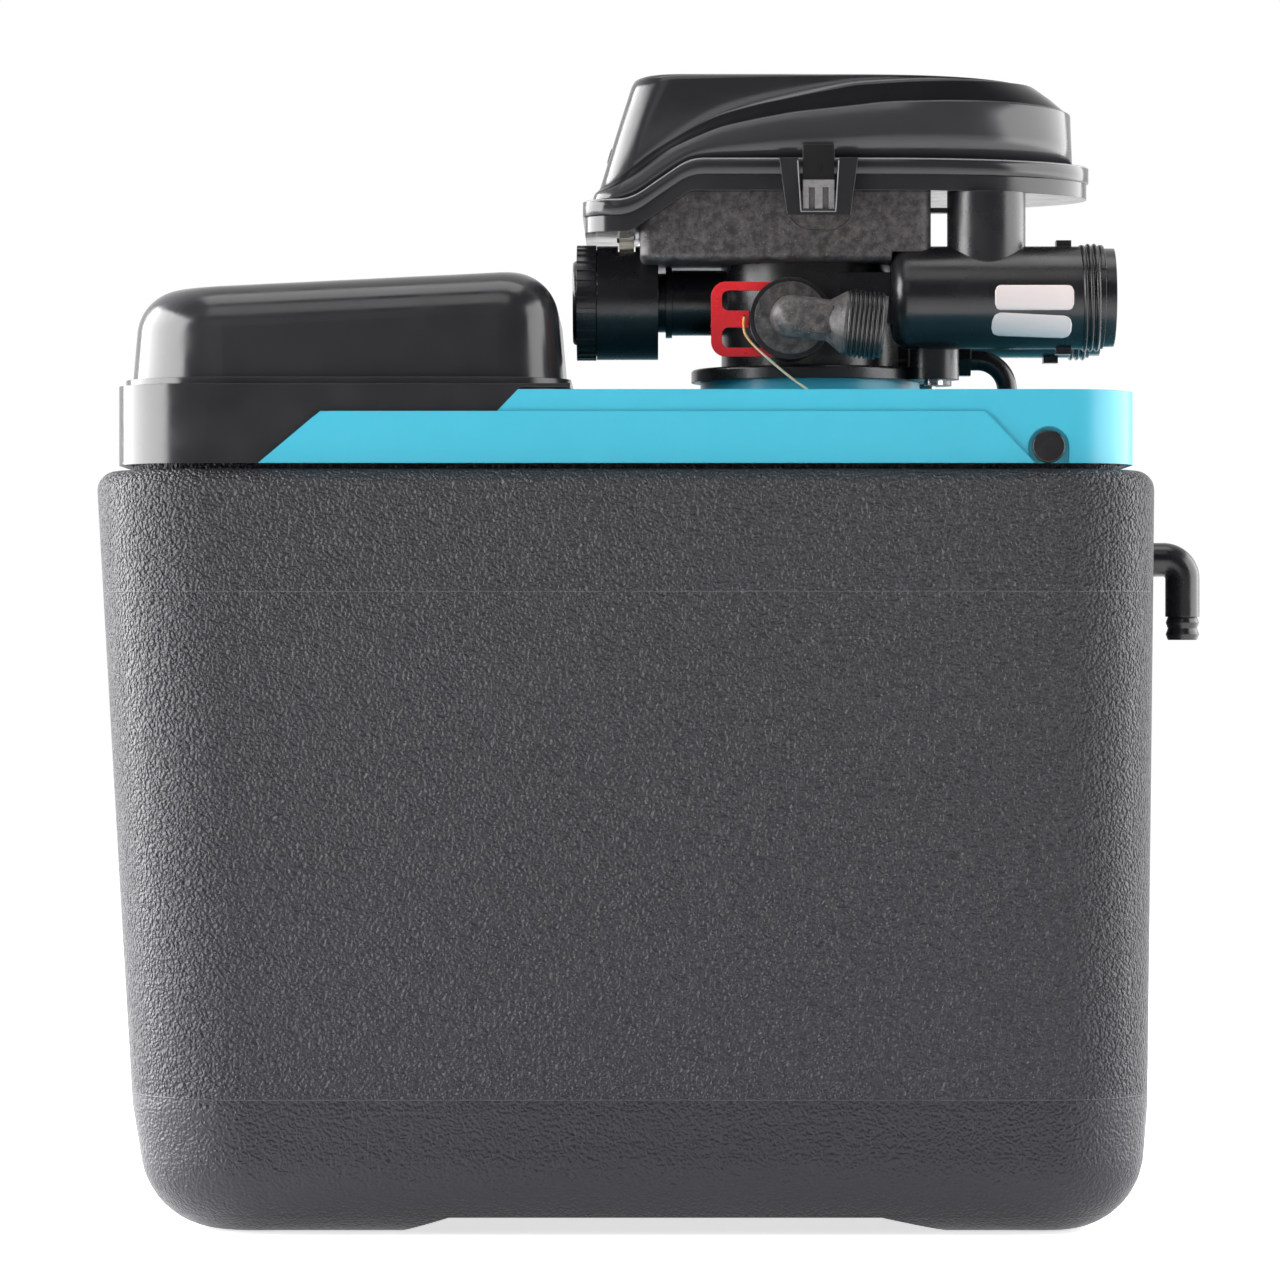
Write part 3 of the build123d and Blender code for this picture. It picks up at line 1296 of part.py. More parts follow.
hook_low = latch_bottom + latch_bar + sliding_fit
with BuildPart() as latch_hooks:
    for side in (-1, 1):
        extrude(latch_sketch(side, sliding_fit, latch_hook, latch_hook, hook_low,
                             latch_top + 2 * latch_slot), amount=-side * latch_tongue)
        extrude(latch_sketch(side, sliding_fit, latch_hook, latch_hook, hook_low,
                             hook_low + latch_block), amount=-side * (latch_thickness - loose_fit))
        with BuildSketch(facing(side * (head_half_width + latch_thickness), latch_x, 0)) as slots:
            with Locations((-latch_slot, hook_low + latch_slot_height / 2),
                           (latch_slot, hook_low + latch_slot_height / 2)):
                Rectangle(latch_slot * slot_share, latch_slot_height)
        extrude(slots.sketch, amount=side * (latch_thickness - loose_fit), mode=Mode.SUBTRACT)
        tab_depth = cover_inset + sliding_fit + latch_tongue
        with Locations((latch_x, side * (head_half_width - cover_inset + tab_depth / 2),
                        latch_top + latch_slot + sliding_fit)):
            Box(latch_hook, tab_depth, latch_slot)
save(latch_hooks.part, "latch_hooks")

# Circuit board on four posts of the tray
board_x = axis_x - board_front
board_z = tray_high + tray_wall + board_rise
with BuildPart() as circuit_board:
    with BuildSketch(level(board_z)) as board_outline:
        with Locations((board_x + board_length / 2, 0)):
            Rectangle(board_length, 2 * board_half_width)
        fillet(board_outline.vertices(), post_radius)
    extrude(board_outline.sketch, amount=board_thickness)
    with Locations((board_x + board_length / 3, 0, board_z + board_thickness + relay_height / 2)):
        Box(board_length / 4, board_half_width / 2, relay_height)
save(circuit_board.part, "circuit_board")

with BuildPart() as board_posts:
    for post_x in (board_x + 2 * post_radius, board_x + board_length - 2 * post_radius):
        for side in (-1, 1):
            round_bar(level(tray_high + tray_wall, post_x, side * (board_half_width - post_radius)),
                      post_radius, board_rise)
save(board_posts.part, "board_posts")

# Brine well with its cap, valve and float
well_x = axis_x - well_forward
well_top = cabinet_height - well_headroom
with BuildPart() as brine_well:
    pipe(level(cabinet_floor, well_x, well_side), well_radius, well_radius - well_wall,
         well_top - cabinet_floor)
    with BuildSketch(level(cabinet_floor + 2 * well_wall, well_x, well_side)) as well_slots:
        with PolarLocations(well_radius, strainer_slots // 2):
            Rectangle(4 * well_wall, well_wall)
    extrude(well_slots.sketch, amount=well_slot_height, mode=Mode.SUBTRACT)
save(brine_well.part, "brine_well")

with BuildPart() as brine_well_cap:
    round_bar(level(well_top, well_x, well_side), well_cap_radius, well_cap_thickness)
    round_bar(level(well_top, well_x, well_side), well_radius - well_wall - running_fit,
              -2 * well_cap_thickness)
    round_bar(level(well_top, well_x, well_side), well_radius - 2 * well_wall, -3 * well_cap_thickness,
              Mode.SUBTRACT)
    round_bar(level(well_top, well_x, well_side), brine_valve_radius, 2 * well_cap_thickness,
              Mode.SUBTRACT)
save(brine_well_cap.part, "brine_well_cap")

valve_top = well_top + well_cap_thickness + loose_fit
with BuildPart() as brine_valve:
    pipe(level(cabinet_floor + 2 * well_wall, well_x, well_side), brine_valve_radius,
         tube_radius - tube_wall, valve_top - cabinet_floor - 2 * well_wall)
    for stop in (float_rest - float_stop, float_rest + float_height + float_travel):
        pipe(level(cabinet_floor + stop, well_x, well_side), brine_valve_radius + float_stop,
             tube_radius, float_stop)
    round_bar(level(cabinet_floor, well_x, well_side), well_radius - well_wall - running_fit,
              2 * well_wall)
save(brine_valve.part, "brine_valve")

with BuildPart() as brine_float:
    pipe(level(cabinet_floor + float_rest, well_x, well_side), float_radius,
         brine_valve_radius + sliding_fit, float_height)
    fillet(brine_float.edges().group_by(SortBy.LENGTH)[-1], float_stop)
save(brine_float.part, "brine_float")

# Refill elbow on the hub, and the brine tube from it through the deck to the well
refill_z = axis_z - refill_drop
refill_x = axis_x + refill_back
tube_z = cabinet_height + tube_level
with BuildPart() as refill_elbow:
    round_bar(across(axis_x + refill_root, tube_side, refill_z), refill_radius,
              refill_back - refill_root)
    round_bar(across(refill_x - refill_nut_length, tube_side, refill_z), tube_radius + tube_wall,
              refill_nut_length)
    round_bar(across(axis_x + refill_root - overrun, tube_side, refill_z), tube_radius - tube_wall,
              refill_back - refill_root + 2 * overrun, Mode.SUBTRACT)
save(refill_elbow.part, "refill_elbow")

with BuildPart() as refill_nut:
    with BuildSketch(across(refill_x - refill_nut_length, tube_side, refill_z)) as nut_outline:
        RegularPolygon(refill_radius + 2 * tube_wall, 6)
        Circle(refill_radius, mode=Mode.SUBTRACT)
    extrude(nut_outline.sketch, amount=refill_nut_length)
save(refill_nut.part, "refill_nut")

tube_x = axis_x + tube_back
brine_route = [(refill_x, tube_side, refill_z), (tube_x, tube_side, refill_z),
               (tube_x, tube_side, tube_z + 2 * tube_radius),
               (tube_x - 4 * tube_radius, deck_half / 2, tube_z), (axis_x, 2 * well_side, tube_z),
               (axis_x - tube_back, 2 * well_side, tube_z), (well_x, well_side, tube_z),
               (well_x, well_side, valve_top)]
with BuildPart() as brine_tube:
    with BuildLine() as tube_path:
        FilletPolyline(*brine_route, radius=tube_bends)
    with BuildSketch(Plane(origin=tube_path.line @ 0, z_dir=tube_path.line % 0)) as tube_section:
        Circle(tube_radius)
    sweep(tube_section.sketch, path=tube_path.line)
    tell_cord("brine tube", tube_path.wires()[0].length, brine_tube.part.volume, tube_radius)
save(brine_tube.part, "brine_tube")

with BuildPart() as tube_grommet:
    pipe(level(shroud_top - 2 * deck_plate, tube_x, tube_side), tube_radius + grommet_wall, tube_radius,
         2 * deck_plate + grommet_wall)
save(tube_grommet.part, "tube_grommet")

# Seal wire from the hole in the clip's middle arm down to the shroud
wire_y = clip_y - clip_thickness / 2 - wire_radius
with BuildPart() as seal_wire:
    with BuildLine() as wire_path:
        FilletPolyline(*[(clip_x + x, wire_y - out, drain_z - down) for x, out, down in wire_route],
                       radius=wire_bends)
    with BuildSketch(Plane(origin=wire_path.line @ 0, z_dir=wire_path.line % 0)) as wire_section:
        Circle(wire_radius)
    sweep(wire_section.sketch, path=wire_path.line)
    tell_cord("seal wire", wire_path.wires()[0].length, seal_wire.part.volume, wire_radius)
save(seal_wire.part, "seal_wire")
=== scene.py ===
import math

import bmesh
import bpy
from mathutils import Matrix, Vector


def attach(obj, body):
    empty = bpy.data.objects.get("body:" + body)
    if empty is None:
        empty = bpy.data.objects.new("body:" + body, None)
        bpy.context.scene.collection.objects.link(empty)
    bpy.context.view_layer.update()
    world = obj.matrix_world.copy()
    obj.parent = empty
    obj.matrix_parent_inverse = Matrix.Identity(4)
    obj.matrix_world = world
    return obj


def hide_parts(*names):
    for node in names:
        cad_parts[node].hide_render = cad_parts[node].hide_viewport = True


# Looks of the water softener, in the frame of the CAD part: metres, X along the cabinet, Z up.
# Places given in millimetres are multiplied by MM.

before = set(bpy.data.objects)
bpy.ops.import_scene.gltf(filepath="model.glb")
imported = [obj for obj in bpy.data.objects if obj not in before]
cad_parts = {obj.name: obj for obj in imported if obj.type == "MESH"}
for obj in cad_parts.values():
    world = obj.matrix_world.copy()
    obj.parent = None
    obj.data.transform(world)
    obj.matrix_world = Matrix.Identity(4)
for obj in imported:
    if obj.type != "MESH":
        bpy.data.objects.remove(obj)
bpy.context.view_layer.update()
scene = bpy.context.scene
scene.view_settings.view_transform = "Standard"
MM = 0.001

# The photograph's view: its size and focal length in its own pixels, and where the lens stood
PHOTO_SIZE = 1280
PHOTO_MIDDLE = PHOTO_SIZE / 2
PHOTO_FOCAL = 5376
SENSOR = 36
EYE_X, EYE_Y, EYE_Z = -0.0072, -2.5536, 0.272

# The two port tubes run along X, one on each side, and the drain elbow's outlet leans down by DRAIN_TILT
PORT_Y = 0.04
PORT_Z = 0.432
PORT_RADIUS = 0.0241
PORT_THREAD_X = 0.1986
DRAIN_TILT = math.radians(7)
DRAIN_ROOT = Vector((0.0626, -0.082, 0.4211))
DRAIN_THREAD_FROM = 0.0255
THREAD_SUNK = 0.0004

# Axis of the resin vessel
VESSEL_X = 0.0735

# Height of the cabinet's lower parting line, under which it is smoother, and of the upper one
LOWER_SEAM = 0.0632
UPPER_SEAM = 0.2942

# Outline of the head's tray from above, in millimetres: straight sides, round tail, round front corners
HEAD_FRONT = -32.9
HEAD_END = 204.7
HEAD_HALF = 60.0
TAIL = 100.0
FRONT_CORNER = 17.0
LONG_STEPS = 48
SHORT_STEPS = 24

# How far the latch frames' faces and the mouldings under them stand from the middle, in millimetres
LATCH_OUT = 64.0
SMILE_OUT = 52.1

# Seal wire: its radius in metres, and the places along it in millimetres
WIRE_RADIUS = 0.0006
WIRE_POINTS = [(41.2, -57.2, 422.1), (40.4, -58.7, 416.1), (43.4, -59.3, 410.9), (48.8, -59.8, 405.7),
               (56.8, -60.4, 398.5), (64.8, -60.9, 392.1), (71.8, -61.3, 387.1)]

# Floor: its grey, how much it shines, half its size, and how far it lies under the part
FLOOR_GREY = 0.86
FLOOR_GLOW = 0.7
FLOOR_HALF = 8
FLOOR_GAP = 0.0002

# The world's light in reflections goes from dim in front of the part to bright behind it
WORLD_FADE = (-0.25, 0.6, 0.05, 0.95)

# Lamps: name, place, point aimed at, width, height and power
LAMPS = (("left_box", (-1.5, 0.08, 0.55), (0, 0, 0.3), 2.3, 1.6, 118),
         ("right_box", (1.5, 0.08, 0.55), (0, 0, 0.3), 2.3, 1.6, 56),
         ("top_box", (0.0, -0.1, 1.9), (0, 0, 0.3), 1.5, 0.8, 11),
         ("front_fill", (-0.9, -2.7, 1.5), (0, 0, 0.25), 1.2, 1.0, 2),
         ("front_top", (-0.2, -1.1, 1.75), (0, 0, 0.4), 1.3, 0.7, 5))


def link(obj):
    """Put an object in the scene."""
    scene.collection.objects.link(obj)
    return obj


def new_node(tree, kind, **values):
    """Shader node with some of its settings."""
    node = tree.nodes.new(kind)
    for key, value in values.items():
        setattr(node, key, value)
    return node


def round_line(name, points, radius, bevel_steps):
    """Round bar along a smooth line. Its bevel is one metre and each point's radius scales that down."""
    data = bpy.data.curves.new(name, "CURVE")
    data.dimensions = "3D"
    data.bevel_depth = 1
    data.bevel_resolution = bevel_steps
    line = data.splines.new("NURBS")
    line.points.add(len(points) - 1)
    for spot, place in zip(line.points, points):
        spot.co = (place[0] * MM, place[1] * MM, place[2] * MM, 1)
        spot.radius = radius
    line.order_u = 3
    line.use_endpoint_u = True
    return data


# ---------------------------------------------------------------- camera and cord
camera_data = bpy.data.cameras.new("photo_camera")
camera_data.sensor_width = SENSOR
camera_data.lens = SENSOR * PHOTO_FOCAL / PHOTO_SIZE
camera_data.clip_end = 50
camera = link(bpy.data.objects.new("photo_camera", camera_data))
camera.location = (EYE_X, EYE_Y, EYE_Z)
camera.rotation_euler = (math.radians(90), 0, 0)
scene.camera = camera

wire_curve = round_line("seal_wire_line", WIRE_POINTS, WIRE_RADIUS, 4)
wire_curve.resolution_u = 16
wire_curve.use_fill_caps = True
wire = link(bpy.data.objects.new("seal_wire_shown", wire_curve))
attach(wire, "clip")
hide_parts("seal_wire")


# ---------------------------------------------------------------- materials
# How much the roughness of a moulded plastic varies
GLOSS_VARY = 0.06


def linear(colour):
    """sRGB numbers from 0 to 255 as linear light."""
    made = []
    for part in colour:
        part = part / 255
        made.append(part / 12.92 if part <= 0.04045 else ((part + 0.055) / 1.055) ** 2.4)
    return (*made, 1)


class Finish:
    """A material and the few nodes that every finish here is made of."""

    def __init__(self, name):
        self.material = bpy.data.materials.new(name)
        self.material.use_nodes = True
        self.tree = self.material.node_tree
        self.shader = self.tree.nodes["Principled BSDF"]
        self.place = self.add("ShaderNodeTexCoord").outputs["Object"]

    def add(self, kind, **values):
        return new_node(self.tree, kind, **values)

    def join(self, output, entry):
        self.tree.links.new(output, entry)

    def colour(self, output):
        self.join(output, self.shader.inputs["Base Color"])

    def noise(self, scale, detail=3, rough=0.55):
        node = self.add("ShaderNodeTexNoise")
        node.inputs["Scale"].default_value = scale
        node.inputs["Detail"].default_value = detail
        node.inputs["Roughness"].default_value = rough
        self.join(self.place, node.inputs["Vector"])
        return node.outputs["Fac"]

    def sums(self, how, *values):
        node = self.add("ShaderNodeMath", operation=how)
        for entry, value in zip(node.inputs, values):
            if isinstance(value, (int, float)):
                entry.default_value = value
            else:
                self.join(value, entry)
        return node.outputs[0]

    def span(self, value, low, high, to_low, to_high, smooth=False):
        node = self.add("ShaderNodeMapRange")
        if smooth:
            node.interpolation_type = "SMOOTHSTEP"
        self.join(value, node.inputs["Value"])
        for entry, number in zip(("From Min", "From Max", "To Min", "To Max"), (low, high, to_low, to_high)):
            node.inputs[entry].default_value = number
        return node.outputs[0]

    def blend(self, share, first, second):
        node = self.add("ShaderNodeMix", data_type="RGBA")
        self.join(share, node.inputs["Factor"])
        for entry, colour in ((node.inputs[6], first), (node.inputs[7], second)):
            if isinstance(colour, tuple):
                entry.default_value = colour
            else:
                self.join(colour, entry)
        return node.outputs[2]

    def axis(self, name):
        node = self.add("ShaderNodeSeparateXYZ")
        self.join(self.place, node.inputs[0])
        return node.outputs[name]

    def relief(self, height, distance, strength=1.0, base=None):
        node = self.add("ShaderNodeBump")
        node.inputs["Strength"].default_value = strength
        node.inputs["Distance"].default_value = distance
        self.join(height, node.inputs["Height"])
        if base is not None:
            self.join(base, node.inputs["Normal"])
        return node.outputs[0]

    def rounding(self, radius):
        node = self.add("ShaderNodeBevel", samples=4)
        node.inputs["Radius"].default_value = radius
        return node.outputs[0]


def shade(colour, share):
    """A linear colour made darker or lighter."""
    return tuple(part * share for part in colour[:3]) + (1,)


def moulded(name, colour, rough, grain, depth, vary=0.12, edge=0.0005):
    """Moulded plastic: fine grain, slight clouds of colour and gloss, softened edges."""
    finish = Finish(name)
    base = linear(colour)
    clouds = finish.span(finish.noise(14), 0.3, 0.7, 0, 1)
    tone = finish.blend(clouds, shade(base, 1 - vary), shade(base, 1 + vary))
    finish.colour(tone)
    gloss = finish.span(finish.noise(60, 4), 0.3, 0.7, rough - GLOSS_VARY, rough + GLOSS_VARY)
    finish.join(gloss, finish.shader.inputs["Roughness"])
    soft = finish.rounding(edge) if edge else None
    finish.join(finish.relief(finish.noise(grain, 2), depth, 0.6, soft), finish.shader.inputs["Normal"])
    return finish


def pebbled():
    """Rotomoulded cabinet: pebbled above the lower seam, smoother below it, with two parting lines."""
    finish = Finish("cabinet_plastic")
    height = finish.axis("Z")
    below = finish.span(height, LOWER_SEAM - 0.0007, LOWER_SEAM + 0.0018, 1, 0, True)
    cells = finish.add("ShaderNodeTexVoronoi", feature="SMOOTH_F1")
    cells.inputs["Scale"].default_value = 640
    cells.inputs["Smoothness"].default_value = 0.6
    bent = finish.add("ShaderNodeMixRGB", blend_type="ADD")
    bent.inputs[0].default_value = 0.003
    wander = finish.add("ShaderNodeTexNoise")
    wander.inputs["Scale"].default_value = 240
    finish.join(finish.place, wander.inputs["Vector"])
    finish.join(finish.place, bent.inputs[1])
    finish.join(wander.outputs["Color"], bent.inputs[2])
    finish.join(bent.outputs[0], cells.inputs["Vector"])
    pebble = finish.sums("ADD", finish.sums("MULTIPLY", cells.outputs["Distance"], -0.9),
                         finish.sums("MULTIPLY", finish.noise(620, 2), 0.9))
    calm = finish.span(below, 0, 1, 1, 0.35)
    pebble = finish.sums("MULTIPLY", pebble, calm)
    line = None
    for level, half in ((UPPER_SEAM, 0.0006), (LOWER_SEAM, 0.0005)):
        away = finish.sums("ABSOLUTE", finish.sums("SUBTRACT", height, level))
        ridge = finish.span(away, 0, half, 1, 0, True)
        line = ridge if line is None else finish.sums("MAXIMUM", line, ridge)
    base = linear((26, 25, 31))
    finish.shader.inputs["Specular IOR Level"].default_value = 0.36
    clouds = finish.span(finish.noise(7, 4), 0.3, 0.7, 0, 1)
    tone = finish.blend(clouds, shade(base, 0.92), shade(base, 1.1))
    # Painted light: the cabinet's colour is multiplied lighter towards the bottom, 1.6 times at the floor
    # easing to 0.95 times from 0.35 m up.
    lower = finish.span(height, 0.0, 0.35, 1.6, 0.95)
    painted_light_low = finish.add("ShaderNodeMix", data_type="RGBA", blend_type="MULTIPLY")
    painted_light_low.inputs[0].default_value = 1
    finish.join(tone, painted_light_low.inputs[6])
    finish.join(lower, painted_light_low.inputs[7])
    # The parting lines are painted a lighter grey over the dark plastic, a painted highlight along their
    # ridges.
    lit = finish.blend(finish.sums("MULTIPLY", line, 0.35), painted_light_low.outputs[2], linear((128, 127, 132)))
    finish.colour(lit)
    gloss = finish.span(finish.noise(420, 3), 0.3, 0.7, 0.3, 0.42)
    finish.join(gloss, finish.shader.inputs["Roughness"])
    first = finish.relief(pebble, 0.0018, 1.0)
    finish.join(finish.relief(line, 0.0004, 1.0, first), finish.shader.inputs["Normal"])
    return finish.material


def speckled():
    """Grey gear casing of filled plastic with light flecks."""
    finish = moulded("grey_plastic", (66, 66, 68), 0.5, 900, 0.00006)
    fleck = finish.span(finish.noise(900, 5, 0.7), 0.62, 0.72, 0, 1)
    cloud = finish.span(finish.noise(210, 6, 0.75), 0.4, 0.66, 0, 0.75)
    tone = finish.blend(cloud, linear((34, 32, 32)), linear((98, 93, 92)))
    tone = finish.blend(finish.sums("MULTIPLY", fleck, 0.45), tone, linear((190, 190, 190)))
    finish.colour(tone)
    return finish.material


def wound():
    """Filament-wound vessel: crossing bands of fibre under a clear coat."""
    finish = moulded("vessel_wrap", (44, 66, 96), 0.32, 700, 0.00002)
    turn = finish.sums("ARCTAN2", finish.axis("Y"), finish.sums("SUBTRACT", finish.axis("X"), VESSEL_X))
    round_way = finish.sums("MULTIPLY", turn, 0.1)
    up = finish.axis("Z")
    bands = None
    for lean in (1.2, -1.2):
        slant = finish.sums("ADD", up, finish.sums("MULTIPLY", round_way, lean))
        wave = finish.sums("SINE", finish.sums("MULTIPLY", slant, 520))
        bands = wave if bands is None else finish.sums("MAXIMUM", bands, wave)
    tone = finish.blend(finish.span(bands, -1, 1, 0, 1), linear((30, 48, 76)), linear((66, 92, 126)))
    finish.colour(tone)
    finish.join(finish.relief(bands, 0.0002, 0.7), finish.shader.inputs["Normal"])
    return finish.material


def granular():
    """Bed of resin beads."""
    finish = Finish("resin")
    beads = finish.add("ShaderNodeTexVoronoi")
    beads.inputs["Scale"].default_value = 1200
    finish.join(finish.place, beads.inputs["Vector"])
    tone = finish.blend(beads.outputs["Color"], linear((150, 92, 34)), linear((206, 140, 62)))
    finish.colour(tone)
    finish.join(finish.relief(beads.outputs["Distance"], 0.0006, 0.9), finish.shader.inputs["Normal"])
    finish.shader.inputs["Roughness"].default_value = 0.4
    return finish.material


def brushed():
    """Plain steel."""
    finish = moulded("steel", (166, 167, 170), 0.3, 500, 0.00001)
    finish.shader.inputs["Metallic"].default_value = 1
    return finish.material


def board_green():
    """Circuit board: solder mask with lighter tracks."""
    finish = moulded("board", (20, 84, 46), 0.35, 1500, 0.00002)
    tracks = finish.add("ShaderNodeTexBrick")
    tracks.inputs["Scale"].default_value = 90
    tracks.inputs["Mortar Size"].default_value = 0.03
    finish.join(finish.place, tracks.inputs["Vector"])
    tone = finish.blend(tracks.outputs["Fac"], linear((16, 74, 40)), linear((46, 128, 72)))
    finish.colour(tone)
    return finish.material


def wire_skin():
    """Cream wire cover that yellows to orange near its upper end."""
    finish = moulded("wire_cover", (226, 214, 178), 0.45, 2500, 0.00002)
    upper = finish.span(finish.axis("Z"), 0.404, 0.412, 0, 1, True)
    stain = finish.span(finish.noise(600, 2), 0.35, 0.65, 0.5, 1)
    aged = finish.sums("MULTIPLY", upper, stain)
    tone = finish.blend(aged, linear((230, 220, 190)), linear((222, 148, 40)))
    finish.colour(tone)
    return finish.material


def latch_tone():
    """Latch: black above, with a lighter grey mottled fork below."""
    finish = moulded("latch_plastic", (24, 24, 25), 0.3, 1500, 0.00002)
    fork = finish.span(finish.axis("Z"), 0.4848, 0.4856, 1, 0, True)
    fork_mottle = finish.span(finish.noise(500, 4), 0.3, 0.7, 0.7, 1)
    tone = finish.blend(finish.sums("MULTIPLY", fork, fork_mottle), linear((20, 20, 21)), linear((132, 130, 131)))
    finish.colour(tone)
    return finish.material


def cover_tone():
    """Head cover: gloss black, painted darker and less shiny in the scooped band as painted shade, and
    painted a little lighter under it as painted light.
    """
    finish = moulded("cover_black", (38, 38, 40), 0.19, 2200, 0.00002, vary=0.15)
    painted_light_zone = finish.add("ShaderNodeAttribute", attribute_name="painted_light_zone").outputs["Fac"]
    band = finish.span(painted_light_zone, 0, 1, 0, 1)
    above = finish.shader.inputs["Base Color"].links[0].from_socket
    # Painted light on the skirt under the band, then painted shade in the scooped band, with less shine
    # there.
    tone = finish.blend(finish.span(painted_light_zone, -1, 0, 1, 0), above, linear((52, 52, 54)))
    tone = finish.blend(band, tone, linear((25, 25, 27)))
    finish.colour(tone)
    finish.join(finish.span(band, 0, 1, 0.5, 0.2), finish.shader.inputs["Specular IOR Level"])
    return finish.material


finishes = {
    "cabinet_plastic": pebbled(),
    "black_plastic": moulded("black_plastic", (26, 26, 28), 0.27, 1100, 0.00005, vary=0.2).material,
    "gloss_black": moulded("gloss_black", (38, 38, 40), 0.19, 2200, 0.00002, vary=0.15).material,
    "blue_plastic": moulded("blue_plastic", (64, 170, 194), 0.34, 1500, 0.00003, vary=0.03).material,
    "grey_plastic": speckled(),
    "red_plastic": moulded("red_plastic", (214, 38, 46), 0.28, 1500, 0.00002, vary=0.06).material,
    "white_plastic": moulded("white_plastic", (222, 222, 216), 0.4, 1500, 0.00003, vary=0.03).material,
    "vessel_wrap": wound(),
    "resin": granular(),
    "rubber": moulded("rubber", (18, 18, 18), 0.62, 1400, 0.00008, vary=0.15).material,
    "steel": brushed(),
    "acetal": moulded("acetal", (226, 222, 208), 0.35, 1500, 0.00002, vary=0.03).material,
    "board": board_green(),
    "lens": moulded("lens", (8, 10, 14), 0.08, 900, 0.00001, vary=0.1).material,
    "wire_cover": wire_skin(),
}
# Bare labels are coated paper with a faint fibre
label_finish = moulded("bare_label", (222, 208, 206), 0.4, 3000, 0.00001, vary=0.03, edge=0).material
# Painted highlight: a light grey for the thin edges and lip, standing in for light caught along them.
painted_highlight_finish = moulded("painted_highlight_edge", (120, 120, 122), 0.3, 1500, 0.00001, edge=0).material

latch_finish = latch_tone()
cover_finish = cover_tone()

# Each CAD node comes with a plain material that has its slot's name
for name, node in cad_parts.items():
    slot = node.data.materials[0].name.split(".")[0]
    node.data.materials.clear()
    node.data.materials.append(latch_finish if name == "latch_hooks" else finishes[slot])
wire_curve.materials.append(finishes["wire_cover"])


# ---------------------------------------------------------------- pieces
def place_piece(name, data, body, material):
    """Put a mesh or curve in the scene as a piece that rides with a body."""
    data.materials.append(material)
    obj = link(bpy.data.objects.new(name, data))
    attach(obj, body)
    return obj


def piece(name, verts, faces, body, material):
    """Smooth mesh piece from its points and faces."""
    data = bpy.data.meshes.new(name)
    data.from_pydata(verts, [], faces)
    data.update()
    build = bmesh.new()
    build.from_mesh(data)
    bmesh.ops.recalc_face_normals(build, faces=build.faces)
    build.to_mesh(data)
    build.free()
    data.polygons.foreach_set("use_smooth", [True] * len(data.polygons))
    return place_piece(name, data, body, material)


def screw_thread(name, start, along, root, crest, pitch, turns, body):
    """Helical ridge round an axis, fading in and out at its ends."""
    along = Vector(along).normalized()
    side = along.orthogonal().normalized()
    other = along.cross(side)
    start = Vector(start)
    steps = 72
    fade_steps = steps * 0.4
    sunk = root - THREAD_SUNK
    total = int(steps * turns)
    verts = []
    faces = []
    for step in range(total + 1):
        angle = 2 * math.pi * step / steps
        fade = min(1, step / fade_steps, (total - step) / fade_steps)
        lift = root + (crest - root) * fade
        out = side * math.cos(angle) + other * math.sin(angle)
        middle = start + along * (pitch * step / steps)
        section = ((-0.42, sunk), (-0.36, root), (-0.12, lift), (0.12, lift), (0.36, root), (0.42, sunk))
        for shift, reach in section:
            verts.append(middle + along * (shift * pitch) + out * reach)
    size = len(section)
    for step in range(total):
        for lane in range(size - 1):
            first = step * size + lane
            faces.append((first, first + 1, first + size + 1, first + size))
    return piece(name, verts, faces, body, finishes["black_plastic"])


def bent_label(name, x_low, x_high, middle_angle, height, corner, lean):
    """Bare label with round corners, laid on the near port tube a hair over its surface."""
    length = x_high - x_low
    columns = 40
    rows = 12
    radius = PORT_RADIUS + 0.00002
    verts = []
    faces = []
    centre = (x_low + x_high) / 2
    for column in range(columns + 1):
        along = -length / 2 + length * column / columns
        near = length / 2 - abs(along)
        half = height / 2
        if near < corner:
            half = height / 2 - corner + math.sqrt(max(0.0, corner ** 2 - (corner - near) ** 2))
        for row in range(rows + 1):
            up = -half + 2 * half * row / rows
            far = along * math.cos(lean) + up * math.sin(lean)
            rise = -along * math.sin(lean) + up * math.cos(lean)
            angle = middle_angle + rise / radius
            verts.append((centre + far, -PORT_Y - radius * math.cos(angle),
                          PORT_Z + radius * math.sin(angle)))
    for column in range(columns):
        for row in range(rows):
            first = column * (rows + 1) + row
            faces.append((first, first + rows + 1, first + rows + 2, first + 1))
    obj = piece(name, verts, faces, "base", label_finish)
    thick = obj.modifiers.new("thickness", "SOLIDIFY")
    thick.thickness = 0.00012
    thick.offset = 0


for side, y in (("outlet", -PORT_Y), ("inlet", PORT_Y)):
    screw_thread("thread_" + side, (PORT_THREAD_X, y, PORT_Z), (1, 0, 0), root=0.0244, crest=0.0252,
                 pitch=0.0029, turns=3.3, body="base")
drain_along = Vector((math.cos(DRAIN_TILT), 0, -math.sin(DRAIN_TILT)))
screw_thread("thread_drain", DRAIN_ROOT + drain_along * DRAIN_THREAD_FROM, drain_along, root=0.0149,
             crest=0.0157, pitch=0.0021, turns=7.6, body="elbow")


def on_port(px, py):
    """X and angle round the near port tube of a point of the photograph."""
    y = -PORT_Y - PORT_RADIUS
    for _ in range(6):
        scale = (y - EYE_Y) / PHOTO_FOCAL
        z = EYE_Z + (PHOTO_MIDDLE - py) * scale
        angle = math.asin(max(-0.99, min(0.99, (z - PORT_Z) / PORT_RADIUS)))
        y = -PORT_Y - PORT_RADIUS * math.cos(angle)
    return (px - PHOTO_MIDDLE) * scale + EYE_X, angle


